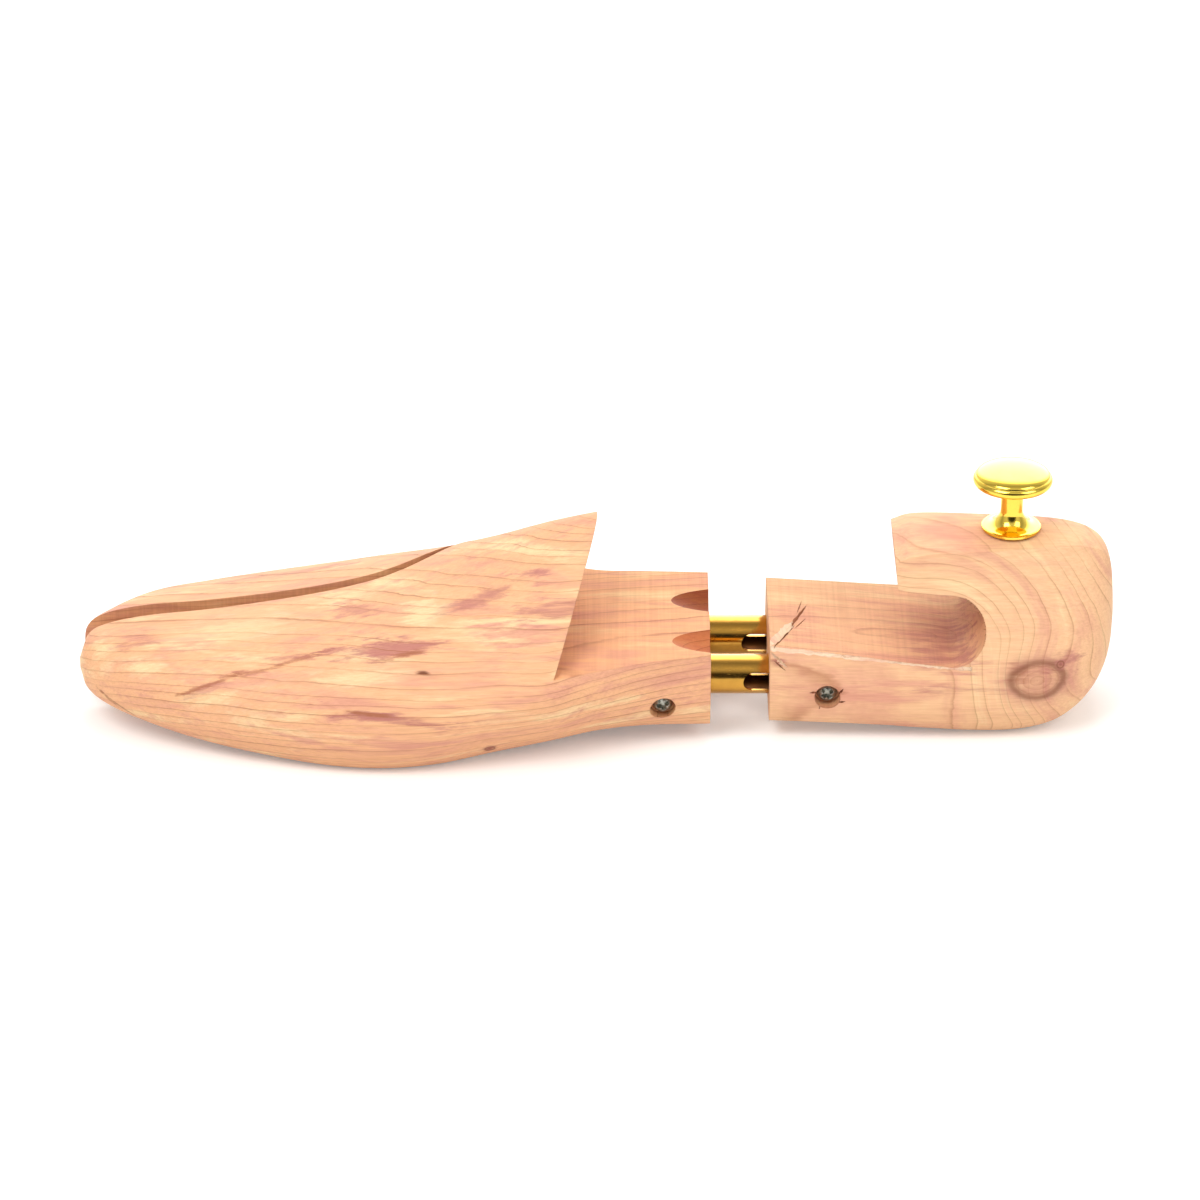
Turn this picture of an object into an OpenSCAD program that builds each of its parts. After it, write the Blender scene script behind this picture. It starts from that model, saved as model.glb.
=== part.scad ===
// Split-toe shoe tree: a cedar forepart and heel joined by two slotted tubes.
// Toe points to -X, heel to +X, the shoe's sole lies on Z = 0, and the tubes run along X.
// All lengths are in millimetres.

/* [Forepart] */
// Length of the forepart, from the toe's tip to the end of its stem
forepart_len = 182.5; // [172:0.5:200]
// Distance from the toe's tip to the widest part of the ball
ball_at = 90; // [84:0.5:96]
// Distance from the toe's tip to the peak of the instep fin
instep_at = 150; // [144:0.5:156]
// Half width of the ball on the near side of the tubes' middle plane
ball_near = 48; // [42:0.5:52]
// Half width of the ball on the far side of the tubes' middle plane
ball_far = 41.5; // [37:0.5:46]
// Height of the instep fin's peak
instep_h = 61.6; // [56:0.2:68]
// Height of the crest above the ball
ball_h = 41; // [38:0.2:44]
// Height of the crest a toe's length back from the tip
toe_h = 29.3; // [27:0.1:32]
// Height of the sole under the toe's tip
toe_spring_h = 16; // [13:0.5:18]
// Lean of the sawn back of the fin from upright, in degrees
fin_lean = 21; // [12:1:28]

/* [Stem] */
// Width of the forepart's stem at its end face
stem_w = 52; // [50:0.5:58]
// Height of the stem's sawn top
stem_top = 29.4; // [28:0.1:32]
// Height of the stem's underside at its end face
stem_base = 5.3; // [3:0.1:6]
// Width of the two shallow finger notches in the stem's end
notch_w = 14.4; // [10:0.2:15]
// Depth of those notches at the end face
notch_depth = 4; // [2:0.2:4.6]
// Length of those notches along the stem
notch_len = 11; // [8:0.5:14]

/* [Toe split] */
// Width of the saw kerf between the toe halves
kerf_w = 3.1; // [2:0.1:3.6]
// Place of the kerf across the toe, as its Y at the tip
kerf_y = -2.3; // [-3:0.1:-1]
// Distance that the kerf drifts to the far side before its curve
kerf_rise = 3.4; // [2:0.1:4]
// Radius of the kerf's curve out to the far side
kerf_r = 38; // [36:0.5:40]
// Distance from the toe's tip to the start of that curve
kerf_turn_at = 81; // [79:0.5:83]
// Angle at which the side piece stands open at rest, in degrees
open_angle = 2.8; // [2:0.05:3]

/* [Toe hinge] */
// Distance from the toe's tip to the hinge pin
hinge_at = 89.5; // [88:0.5:91]
// Distance of the hinge pin from the tubes' middle plane
hinge_y = 27; // [26:0.5:28]
// Diameter of the hinge pin
pin_d = 4; // [3:0.1:5]
// Height of the hinge pin's top
pin_top = 28; // [24:0.5:30]
// Depth of the hinge pin's foot above the sole
pin_recess = 1; // [0.5:0.1:2]
// Thickness of the wooden tongue that the pin passes through
tongue_t = 8; // [6:0.5:10]
// Width of that tongue
tongue_w = 13; // [11:0.5:14]
// Height of the tongue's middle
tongue_z = 16; // [14:0.5:18]

/* [Toe spring] */
// Distance from the toe's tip to the toe spring
toe_spring_at = 31.5; // [29:0.5:35]
// Height of the toe spring's axis
toe_spring_z = 14.5; // [13.5:0.5:16]
// Outer diameter of the toe spring
toe_spring_d = 8; // [7:0.1:8.6]
// Diameter of the toe spring's wire
toe_wire_d = 0.9; // [0.7:0.05:1.1]
// Depth of the spring's bore in the near half
near_bore_depth = 12; // [9:0.5:14]
// Depth of the spring's bore in the side piece
far_bore_depth = 9; // [7:0.5:10]
// Curls of the toe spring
toe_curls = 7; // [5:1:9]

/* [Tubes] */
// Height of the tubes' axes
tube_z = 16; // [15:0.1:17]
// Distance between the tubes' axes
tube_pitch = 24; // [22:0.2:26]
// Outer diameter of the tubes
tube_d = 11.6; // [10:0.1:12]
// Wall of the tubes
tube_wall = 0.8; // [0.6:0.05:1.2]
// Length of a tube inside the forepart
tube_in_fore = 42; // [34:1:60]
// Length of a tube inside the heel at rest
tube_in_heel = 27; // [26:0.5:32]
// Width of the slot through a tube
slot_w = 5.6; // [5:0.1:6]
// Distance from the forepart's end face to the start of the slot
slot_start = 9.6; // [7:0.1:11]
// Length of the slot
slot_len = 27.2; // [26:0.1:28]
// Width of the rolled-in lip at the tube's rear end
lip_w = 1.6; // [1:0.1:2]
// Radial running clearance of a tube in the heel
tube_clearance = 0.08; // [0.02:0.01:0.1]

/* [Heel] */
// Gap between forepart and heel at rest
rest_gap = 17; // [16.5:0.1:20]
// Travel of the heel towards the forepart
heel_travel = 16; // [12:0.1:16]
// Length of the heel block
heel_len = 99.8; // [96:0.2:110]
// Width of the heel block at its front face
heel_front_w = 48; // [46:0.2:52]
// Greatest width of the heel block
heel_w = 53; // [52:0.2:58]
// Height of the heel block's top
heel_h = 57.2; // [54:0.2:62]
// Width of the heel block's flat top
heel_top_w = 29; // [26:0.5:31]
// Height of the sawn floor at the heel's front face
floor_h = 29.7; // [28.5:0.1:31]
// Slope of the sawn floor down to the back, in degrees
floor_slope = 5.4; // [3:0.1:6]
// Height of the finger slot
finger_slot_h = 19.5; // [16:0.5:21]
// Distance from the heel's front face to the finger slot's round end
finger_slot_end = 61.7; // [58:0.1:64]
// Distance from the heel's front face to the tall part's front
tall_front_at = 36.5; // [33:0.1:40]
// Lean of the tall part's front towards the toe, in degrees
tall_lean = 6; // [2:0.5:10]
// Drop of the tall part's top where it meets that front
brow_drop = 2.5; // [1:0.1:4]

/* [Heel springs] */
// Depth of the bores in the heel
heel_bore_depth = 67; // [62:0.5:72]
// Outer diameter of the heel springs
heel_spring_d = 10; // [9:0.1:10.4]
// Diameter of the heel springs' wire
heel_wire_d = 1; // [0.8:0.05:1.2]
// Curls of each heel spring
heel_curls = 11; // [8:1:13]

/* [Screws] */
// Distance from the forepart's end face back to its screw
fore_screw_back = 13.8; // [12:0.1:18]
// Height of the forepart's screw
fore_screw_z = 13.8; // [13:0.1:16]
// Distance from the heel's front face to its screw
heel_screw_at = 16.6; // [15:0.1:18]
// Height of the heel's screw
heel_screw_z = 15; // [14.9:0.1:16.5]
// Diameter of the screws' shanks
screw_d = 3.2; // [2.6:0.1:3.4]
// Diameter of the screws' heads
head_d = 5.8; // [5:0.1:6.4]
// Distance of the screws' points beyond the tubes' middle plane
screw_reach = 22.6; // [21:0.2:24]
// Diameter of the counterbores over the heads
counterbore_d = 7.4; // [7:0.1:8]
// Distance of the forepart screw's head from the tubes' middle plane
fore_head_y = 27.4; // [26.6:0.1:28]
// Distance of the heel screw's head from the tubes' middle plane
heel_head_y = 23; // [22.5:0.1:23.5]

/* [Knob] */
// Distance from the heel's front face to the knob's axis
knob_at = 69.5; // [66:0.1:72]
// Diameter of the knob's cap
knob_cap_d = 22.8; // [18:0.2:26]
// Diameter of the knob's foot
knob_foot_d = 17; // [13:0.2:19]
// Diameter of the knob's neck
knob_neck_d = 6.4; // [5.6:0.2:9]
// Height of the knob
knob_h = 19.6; // [16:0.2:24]
// Diameter of the stud that holds the knob
stud_d = 4; // [3:0.1:4.6]
// Length of the stud in the wood
stud_in_wood = 18; // [14:0.5:22]
// Length of the stud in the knob
stud_in_knob = 9; // [6:0.5:10]

/* [Hidden] */

wood = [0.96, 0.76, 0.6];
brass = [0.85, 0.68, 0.28];
steel = [0.6, 0.6, 0.56];

fit = 0.02;        // room between two pieces that are fixed in each other
run_fit = 0.05;    // room round a pin that turns
seat_gap = 0.2;    // room between a spring's end and its seat
round_fn = 96;
big = 400;         // larger than the whole object, for cutting tools

total_len = forepart_len + rest_gap + heel_len;
toe_x = -total_len / 2;
stem_x = toe_x + forepart_len;
heel_x = stem_x + rest_gap;
hinge_x = toe_x + hinge_at;
tube_front_x = stem_x - tube_in_fore;
tube_rear_x = heel_x + tube_in_heel;
fin_x = toe_x + instep_at;
sole_cut = 0.3;    // how far the loft dips under the sole, to be planed flat

// Sections of the forepart, from the toe's tip to the stem's end. Each row holds the place along
// the forepart, the near and far half widths, the heights of the underside, of the widest place
// and of the crest, the crest's Y, how upright the flank rises, how broad the crest is, and the
// width of the flat sole as a share of the section.
function toe_st(f) = f * ball_at;
function mid_st(f) = ball_at + f * (instep_at - ball_at);
function end_st(f) = instep_at + f * (forepart_len - instep_at);
stem_h = instep_h + 3.4;
last = [
  [toe_st(0), 0.17 * ball_near, -0.19 * ball_far, toe_spring_h, toe_spring_h + 1,
    0.65 * toe_h, -8, 0.6, 0.6, 0.5],
  [toe_st(0.022), 0.29 * ball_near, 0.1 * ball_far, 0.69 * toe_spring_h, toe_spring_h,
    0.82 * toe_h, -7, 0.6, 0.6, 0.55],
  [toe_st(0.09), 0.43 * ball_near, 0.32 * ball_far, 0.5 * toe_spring_h, toe_spring_h - 0.5,
    0.92 * toe_h, -4, 0.62, 0.62, 0.62],
  [toe_st(0.222), 0.59 * ball_near, 0.59 * ball_far, 0.34 * toe_spring_h, 15,
    toe_h, 0, 0.64, 0.64, 0.68],
  [toe_st(0.4), 0.735 * ball_near, 0.78 * ball_far, 0.19 * toe_spring_h, 14,
    0.87 * toe_h + 0.13 * ball_h, 1, 0.64, 0.64, 0.74],
  [toe_st(0.622), 0.875 * ball_near, 0.915 * ball_far, 0.08 * toe_spring_h, 14,
    0.64 * toe_h + 0.36 * ball_h, 2, 0.62, 0.62, 0.77],
  [toe_st(0.822), 0.96 * ball_near, 0.975 * ball_far, 0, 14,
    0.36 * toe_h + 0.64 * ball_h, 3, 0.6, 0.6, 0.78],
  [toe_st(1), ball_near, ball_far, -sole_cut, 15,
    ball_h, 3, 0.52, 0.56, 0.76],
  [mid_st(0.25), ball_near, 0.99 * ball_far, -sole_cut, 18,
    0.77 * ball_h + 0.23 * instep_h, 3, 0.38, 0.46, 0.68],
  [mid_st(0.5), 0.96 * ball_near, 0.93 * ball_far, 0.11 * stem_base, 21,
    0.5 * ball_h + 0.5 * instep_h, 2, 0.26, 0.38, 0.56],
  [mid_st(0.767), 0.92 * ball_near, 0.82 * ball_far, 0.42 * stem_base, 24,
    0.2 * ball_h + 0.8 * instep_h, 1, 0.22, 0.34, 0.46],
  [mid_st(1), 0.79 * ball_near, 0.7 * ball_far, 0.72 * stem_base, 23,
    instep_h, 0, 0.25, 0.36, 0.48],
  [end_st(0.43), 0.61 * stem_w, 0.53 * stem_w, 0.87 * stem_base, 20,
    0.45 * instep_h + 0.55 * stem_h, 0, 0.5, 0.55, 0.62],
  [end_st(1), stem_w / 2, stem_w / 2, stem_base, 16, stem_h, 0, 0.95, 0.95, 0.86]
];

// Sections of the heel, from its front face to its back. Each row holds the place along the heel,
// the half width, the heights of the underside, of the widest place and of the top, the half
// width of the flat top, and the width of the flat sole as a share of the section.
heel = [
  [0, heel_front_w / 2, 5.5, 15, heel_h - brow_drop, heel_top_w / 2, 0.86],
  [0.15 * heel_len, 0.935 * heel_w / 2, 4.8, 15, heel_h - brow_drop, heel_top_w / 2, 0.82],
  [0.35 * heel_len, 0.972 * heel_w / 2, 2.7, 15, heel_h - brow_drop, 0.49 * heel_top_w, 0.68],
  [0.4 * heel_len, 0.98 * heel_w / 2, 2, 15, heel_h - 0.3 * brow_drop, 0.49 * heel_top_w, 0.65],
  [0.46 * heel_len, 0.99 * heel_w / 2, 1.3, 15, heel_h, 0.47 * heel_top_w, 0.61],
  [0.58 * heel_len, heel_w / 2, 0, 15, heel_h, 0.44 * heel_top_w, 0.54],
  [0.72 * heel_len, 0.985 * heel_w / 2, -sole_cut, 16, heel_h, 0.38 * heel_top_w, 0.5],
  [0.82 * heel_len, 0.925 * heel_w / 2, 1.8, 17, heel_h - 0.1, 0.32 * heel_top_w, 0.5],
  [0.885 * heel_len, 0.825 * heel_w / 2, 5.4, 19, 0.985 * heel_h, 0.27 * heel_top_w, 0.5],
  [0.935 * heel_len, 0.69 * heel_w / 2, 10.4, 21, 0.955 * heel_h, 0.22 * heel_top_w, 0.5],
  [0.97 * heel_len, 0.52 * heel_w / 2, 16, 25, 0.9 * heel_h, 0.16 * heel_top_w, 0.5],
  [0.99 * heel_len, 0.33 * heel_w / 2, 22, 28, 0.8 * heel_h, 0.1 * heel_top_w, 0.5],
  [heel_len, 0.04 * heel_w, 28.5, 31, 0.62 * heel_h, 0.02 * heel_top_w, 0.5]
];

// A smooth curve through a table's column, with each row's slope taken from its neighbours
function row_of(tab, x) =
  max(concat([0], [for (j = [0 : len(tab) - 2]) if (x >= tab[j][0]) j]));
function slope(tab, k, i) =
  let (a = max(i - 1, 0), b = min(i + 1, len(tab) - 1))
  (tab[b][k] - tab[a][k]) / (tab[b][0] - tab[a][0]);
function blend(tab, k, i, t, h) =
  (1 + 2 * t) * pow(1 - t, 2) * tab[i][k] + t * pow(1 - t, 2) * h * slope(tab, k, i)
  + t * t * (3 - 2 * t) * tab[i + 1][k] + t * t * (t - 1) * h * slope(tab, k, i + 1);
function curve(tab, k, x) =
  let (i = row_of(tab, x), h = tab[i + 1][0] - tab[i][0], t = min(1, (x - tab[i][0]) / h))
  blend(tab, k, i, t, h);

// A point on a cubic Bezier curve
function bez(p, t) =
  pow(1 - t, 3) * p[0] + 3 * t * pow(1 - t, 2) * p[1] + 3 * t * t * (1 - t) * p[2]
  + t * t * t * p[3];
function arc_pts(p, n) = [for (i = [0 : n - 1]) bez(p, i / n)];
function back(p) = [p[3], p[2], p[1], p[0]];

// Half a section of the forepart, as two curves: from the sole to the widest place, and from
// there to the crest
function last_half(s, w) =
  let (
    mid = (curve(last, 2, s) - curve(last, 1, s)) / 2,
    zb = curve(last, 3, s),
    zw = curve(last, 4, s),
    zc = curve(last, 5, s),
    yc = curve(last, 6, s),
    sole = mid + (w - mid) * curve(last, 9, s),
    rise = (zc - zw) * curve(last, 7, s),
    broad = (w - yc) * curve(last, 8, s)
  )
  [
    [[sole, zb], [(sole + w) / 2, zb], [w, (zw + zb) / 2], [w, zw]],
    [[w, zw], [w, zw + rise], [yc + broad, zc], [yc, zc]]
  ];
function last_ring(s, n) =
  let (near = last_half(s, -curve(last, 1, s)), far = last_half(s, curve(last, 2, s)))
  concat(
    arc_pts(near[0], n), arc_pts(near[1], n),
    arc_pts(back(far[1]), n), arc_pts(back(far[0]), n), [far[0][0]]
  );

// Half a section of the heel, as three curves: sole to widest place, side, and top
function heel_half(h) =
  let (
    w = curve(heel, 1, h),
    zb = curve(heel, 2, h),
    zw = curve(heel, 3, h),
    zt = curve(heel, 4, h),
    tw = curve(heel, 5, h),
    sole = w * curve(heel, 6, h),
    zs = zt - 4 * tw / heel_top_w
  )
  [
    [[sole, zb], [sole + 0.55 * (w - sole), zb], [w, (zw + zb) / 2], [w, zw]],
    [[w, zw], [w, zw + 0.4 * (zs - zw)], [tw + 0.22 * (w - tw), zs - 0.22 * (zs - zw)], [tw, zs]],
    [[tw, zs], [0.72 * tw, zt - 0.35 * (zt - zs)], [0.3 * tw, zt], [0, zt]]
  ];
function flip_y(pts) = [for (p = pts) [-p[0], p[1]]];
function heel_ring(h, n) =
  let (a = heel_half(h))
  concat(
    flip_y(arc_pts(a[0], n)), flip_y(arc_pts(a[1], n)), flip_y(arc_pts(a[2], n)),
    arc_pts(back(a[2]), n), arc_pts(back(a[1]), n), arc_pts(back(a[0]), n), [a[0][0]]
  );

function mean(pts) = [for (k = [0 : 2]) [for (p = pts) p[k]] * [for (p = pts) 1] / len(pts)];
function flat(lists) = [for (l = lists) for (p = l) p];

// A closed solid through rings of points that follow each other along X
module loft(rings) {
  n = len(rings[0]);
  m = len(rings);
  first = n * m;
  last_pt = first + 1;
  points = concat(flat(rings), [mean(rings[0]), mean(rings[m - 1])]);
  sides = [
    for (i = [0 : m - 2]) for (j = [0 : n - 1])
      let (a = i * n + j, b = i * n + (j + 1) % n)
      each [[a, b, b + n], [a, b + n, a + n]]
  ];
  caps = [
    for (j = [0 : n - 1])
      let (k = (j + 1) % n, e = (m - 1) * n)
      each [[first, k, j], [last_pt, e + j, e + k]]
  ];
  polyhedron(points = points, faces = concat(sides, caps), convexity = 6);
}

last_places = concat(
  [0.05, 0.5, 1.2, 2.4, 4.4, 7.4, 11.5],
  [for (f = [0 : 24]) 17 + f / 24 * (forepart_len - 17)]
);
module whole_last() {
  rings = [for (s = last_places) [for (p = last_ring(s, 9)) [toe_x + s, p[0], p[1]]]];
  intersection() {
    loft(rings);
    translate([-big / 2, -big / 2, 0]) cube(big);
  }
}

heel_places = concat(
  [for (f = [0, 0.07, 0.14, 0.21, 0.28, 0.34, 0.37, 0.4, 0.43, 0.46, 0.52]) f * heel_len],
  [for (f = [0.58, 0.64, 0.7, 0.76, 0.82]) f * heel_len],
  [for (f = [0.85, 0.88, 0.905, 0.93, 0.95, 0.965, 0.978, 0.988, 0.995, 1]) f * heel_len]
);
module whole_heel() {
  rings = [for (h = heel_places) [for (p = heel_ring(h, 6)) [heel_x + h, p[0], p[1]]]];
  intersection() {
    loft(rings);
    translate([-big / 2, -big / 2, 0]) cube(big);
  }
}

// The tubes' middle plane lies off Y = 0, so that the whole object is centred there. The near
// side's reach is the ball's, and the far side's is that of the side piece where it stands open.
near_reach = max([for (s = last_places) curve(last, 1, s)]);
far_reach = hinge_y + max([
  for (s = last_places) if (s < ball_at + 10)
    (curve(last, 2, s) - hinge_y) * cos(open_angle) + (hinge_at - s) * sin(open_angle)
]);
mid_y = (near_reach - far_reach) / 2;
module centred() {
  translate([0, mid_y, 0]) children();
}

// A solid that runs along Y, from an outline drawn in X and Z
module along_y(y0, y1) {
  translate([0, y1, 0]) rotate([90, 0, 0]) linear_extrude(y1 - y0) children();
}
// A cylinder along X, Y or Z that starts at a point
module rod_x(p, d, l, fn = round_fn) {
  translate(p) rotate([0, 90, 0]) cylinder(d = d, h = l, $fn = fn);
}
module rod_y(p, d, l, fn = round_fn) {
  translate(p) rotate([-90, 0, 0]) cylinder(d = d, h = l, $fn = fn);
}
module rod_z(p, d, l, fn = round_fn) {
  translate(p) cylinder(d = d, h = l, $fn = fn);
}

// Plan of the region beyond the kerf. A quarter circle turns the kerf out to the far side.
turn_x = toe_x + kerf_turn_at;
turn_y = kerf_y + kerf_rise + kerf_r;
module far_region(inset) {
  r = kerf_r - inset;
  edge = [for (a = [0 : 5 : 90]) [turn_x + r * sin(a), turn_y - r * cos(a)]];
  polygon(concat(
    [[toe_x - 20, kerf_y + inset]], edge,
    [[turn_x + r, turn_y + 60], [toe_x - 20, turn_y + 60]]
  ));
}

// Plan of the hinge's tongue: a bar from the forepart with a round end about the pin
tongue_angle = -42;
tongue_len = 26;
module tongue_plan(side, end_r, flare) {
  translate([hinge_x, hinge_y]) rotate(tongue_angle) {
    circle(r = end_r, $fn = round_fn);
    polygon([
      [0, -side / 2], [tongue_len, -side / 2 - tongue_len * tan(flare)],
      [tongue_len, side / 2 + tongue_len * tan(flare)], [0, side / 2]
    ]);
  }
}

// Room that the saw takes above the forepart's stem, behind the fin
module stem_cut() {
  foot_x = fin_x - (instep_h - stem_top) * tan(fin_lean);
  along_y(-big / 2, big / 2) polygon([
    [foot_x, stem_top], [big, stem_top], [big, big],
    [foot_x + (big - stem_top) * tan(fin_lean), big]
  ]);
}

notch_y = [8, -17.4];
notch_slope = atan(notch_depth / notch_len);
notch_r = (pow(notch_w / 2, 2) + pow(notch_depth, 2)) / (2 * notch_depth);
module notches() {
  for (y = notch_y)
    translate([stem_x, y, stem_top - notch_depth])
      rotate([0, -90 + notch_slope, 0])
        translate([notch_r, 0, -notch_r])
          cylinder(r = notch_r, h = 4 * notch_r, $fn = round_fn);
}

module tube_bores(x0, x1, d) {
  for (y = [-tube_pitch / 2, tube_pitch / 2])
    rod_x([x0, y, tube_z], d, x1 - x0);
}

// A screw's pilot hole and the counterbore over its head
module screw_hole(x, head_y, z) {
  rod_y([x, -head_y - fit, z], screw_d + 2 * fit, head_y + screw_reach + 2 * fit);
  rod_y([x, -head_y - big, z], counterbore_d, big + head_h + fit);
}

module forepart() {
  color(wood) centred() difference() {
    union() {
      difference() {
        whole_last();
        translate([0, 0, -1]) linear_extrude(big) far_region(0);
      }
      translate([0, 0, tongue_z - tongue_t / 2]) linear_extrude(tongue_t)
        tongue_plan(tongue_w, tongue_w / 2, 0);
    }
    stem_cut();
    notches();
    tube_bores(tube_front_x - fit, stem_x + 1, tube_d + 2 * fit);
    screw_hole(fore_screw_x, fore_head_y, fore_screw_z);
    rod_z([hinge_x, hinge_y, -1], pin_d + 2 * run_fit, big);
    rod_y([toe_spring_x, near_seat_y, toe_spring_z], toe_bore_d, near_bore_depth + 5);
  }
}
fore_screw_x = stem_x - fore_screw_back;
head_h = 2.6;

// The toe spring lies across the kerf, in a blind bore in each half
toe_spring_x = toe_x + toe_spring_at;
toe_bore_d = toe_spring_d + 1.4;
kerf_face_y = kerf_y + kerf_rise * toe_spring_at / kerf_turn_at;
near_seat_y = kerf_face_y - near_bore_depth;
far_face_y = kerf_face_y + kerf_w + (hinge_at - toe_spring_at) * tan(open_angle);
far_seat_y = far_face_y + far_bore_depth;

// Turns what belongs to the side piece from its sawn place to its open place at rest
module opened() {
  translate([hinge_x, hinge_y, 0]) rotate(-open_angle) translate([-hinge_x, -hinge_y, 0])
    children();
}

mortise_room = 0.4;
module toe_side_piece() {
  color(wood) centred() difference() {
    opened() intersection() {
      whole_last();
      translate([0, 0, -1]) linear_extrude(big) far_region(kerf_w);
    }
    opened() translate([0, 0, tongue_z - tongue_t / 2 - mortise_room])
      linear_extrude(tongue_t + 2 * mortise_room)
        tongue_plan(tongue_w + 1, tongue_w / 2 + 2 * mortise_room, 3.6);
    rod_z([hinge_x, hinge_y, -1], pin_d + 2 * fit, pin_top + 1 + fit);
    rod_y([toe_spring_x, far_face_y - 5, toe_spring_z], toe_bore_d, far_bore_depth + 5);
  }
}

module hinge_pin() {
  color(steel) centred() rod_z([hinge_x, hinge_y, pin_recess], pin_d, pin_top - pin_recess);
}

// A round wire wound along +Z from z = 0, whose ends turn along the axis for one wire diameter
function wound(d, wire, l, curls) =
  let (r = (d - wire) / 2, steps = 8 * curls, span = l - 2 * wire)
  concat(
    [[r, 0, 0]],
    [for (i = [0 : steps]) [r * cos(45 * i), r * sin(45 * i), wire + span * i / steps]],
    [[r * cos(45 * steps), r * sin(45 * steps), l]]
  );
function unit(v) = v / norm(v);
function least_gap(p, wire) =
  min([for (i = [1 : len(p) - 10]) norm(p[i + 8] - p[i])]) - wire;
module spring(d, wire, l, curls, name) {
  path = wound(d, wire, l, curls);
  n = len(path);
  echo(str("least gap in ", name, ": ", least_gap(path, wire), " mm"));
  sides = 6;
  rings = [
    for (i = [0 : n - 1])
      let (
        ahead = unit(path[min(i + 1, n - 1)] - path[max(i - 1, 0)]),
        out = unit([path[i][0], path[i][1], 0]),
        up = unit(cross(ahead, out))
      )
      [for (k = [0 : sides - 1])
        path[i] + wire / 2 * (cos(60 * k) * out + sin(60 * k) * up)]
  ];
  loft(rings);
}

module toe_spring() {
  color(steel) centred() translate([toe_spring_x, near_seat_y + seat_gap, toe_spring_z])
    rotate([-90, 0, 0])
      spring(toe_spring_d, toe_wire_d, far_seat_y - near_seat_y - 2 * seat_gap, toe_curls, "toe");
}

// A tube along X with a rolled-in lip at its rear end, where its spring sits
module tube(y) {
  r = tube_d / 2;
  l = tube_rear_x - tube_front_x;
  slot_x = stem_x + slot_start;
  slot_z = tube_z - slot_w / 2;
  difference() {
    translate([tube_front_x, y, tube_z]) rotate([0, 90, 0]) rotate_extrude($fn = round_fn)
      polygon([
        [r - tube_wall, 0], [r, 0], [r, l], [r - lip_w, l],
        [r - lip_w, l - tube_wall], [r - tube_wall, l - tube_wall]
      ]);
    translate([slot_x + slot_w / 2, y - tube_d, slot_z])
      cube([slot_len - slot_w, 2 * tube_d, slot_w]);
    rod_y([slot_x + slot_w / 2, y - tube_d, tube_z], slot_w, 2 * tube_d);
    rod_y([slot_x + slot_len - slot_w / 2, y - tube_d, tube_z], slot_w, 2 * tube_d);
    rod_y([fore_screw_x, y - tube_d, fore_screw_z], screw_d + 2 * fit, 2 * tube_d);
  }
}
module near_tube() {
  color(brass) centred() tube(-tube_pitch / 2);
}
module far_tube() {
  color(brass) centred() tube(tube_pitch / 2);
}

// A round-headed wood screw along +Y with a cross recess in its head
screw_point = 5;
recess_w = 1;
recess_l = 3.4;
recess_depth = 1.5;
module wood_screw(x, head_y, z) {
  r = screw_d / 2;
  l = head_y + screw_reach;
  translate([x, -head_y, z]) rotate([-90, 0, 0]) difference() {
    rotate_extrude($fn = round_fn) polygon([
      [0, 0], [0.28 * head_d, 0.1 * head_h], [0.42 * head_d, 0.35 * head_h],
      [0.5 * head_d, 0.75 * head_h], [0.5 * head_d, head_h], [r, head_h],
      [r, l - screw_point], [0, l]
    ]);
    for (a = [0, 90])
      rotate(a + 20) translate([-recess_l / 2, -recess_w / 2, -1])
        cube([recess_l, recess_w, recess_depth + 1]);
  }
}
module forepart_screw() {
  color(steel) centred() wood_screw(fore_screw_x, fore_head_y, fore_screw_z);
}

// Room above the heel's sawn floor: everything ahead of the tall part, and the finger slot
floor_tan = tan(floor_slope);
function floor_z(x) = floor_h - (x - heel_x) * floor_tan;
tall_x = heel_x + tall_front_at;
slot_r = finger_slot_h / 2;
slot_end_x = heel_x + finger_slot_end - slot_r;
module heel_cut() {
  ceiling = floor_z(tall_x) + finger_slot_h;
  along_y(-big / 2, big / 2) {
    polygon([
      [heel_x - 5, floor_z(heel_x - 5)], [slot_end_x, floor_z(slot_end_x)],
      [slot_end_x, floor_z(slot_end_x) + finger_slot_h], [tall_x, ceiling],
      [tall_x - heel_h * tan(tall_lean), ceiling + heel_h], [heel_x - 5, ceiling + heel_h]
    ]);
    translate([slot_end_x, floor_z(slot_end_x) + slot_r]) circle(r = slot_r, $fn = round_fn);
  }
}

module heel_block() {
  color(wood) centred() difference() {
    whole_heel();
    heel_cut();
    tube_bores(heel_x - 1, heel_x + heel_bore_depth, tube_d + 2 * tube_clearance);
    screw_hole(heel_screw_x, heel_head_y, heel_screw_z);
    rod_z([knob_x, 0, heel_h - stud_in_wood - fit], stud_d + 2 * fit, big);
  }
}
heel_screw_x = heel_x + heel_screw_at;
knob_x = heel_x + knob_at;

module heel_screw() {
  color(steel) centred() wood_screw(heel_screw_x, heel_head_y, heel_screw_z);
}

heel_spring_l = heel_bore_depth - tube_in_heel - 2 * seat_gap;
module heel_spring(y) {
  color(steel) centred() translate([tube_rear_x + seat_gap, y, tube_z]) rotate([0, 90, 0])
    spring(heel_spring_d, heel_wire_d, heel_spring_l, heel_curls, "heel");
}
module near_tube_spring() {
  heel_spring(-tube_pitch / 2);
}
module far_tube_spring() {
  heel_spring(tube_pitch / 2);
}

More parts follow.
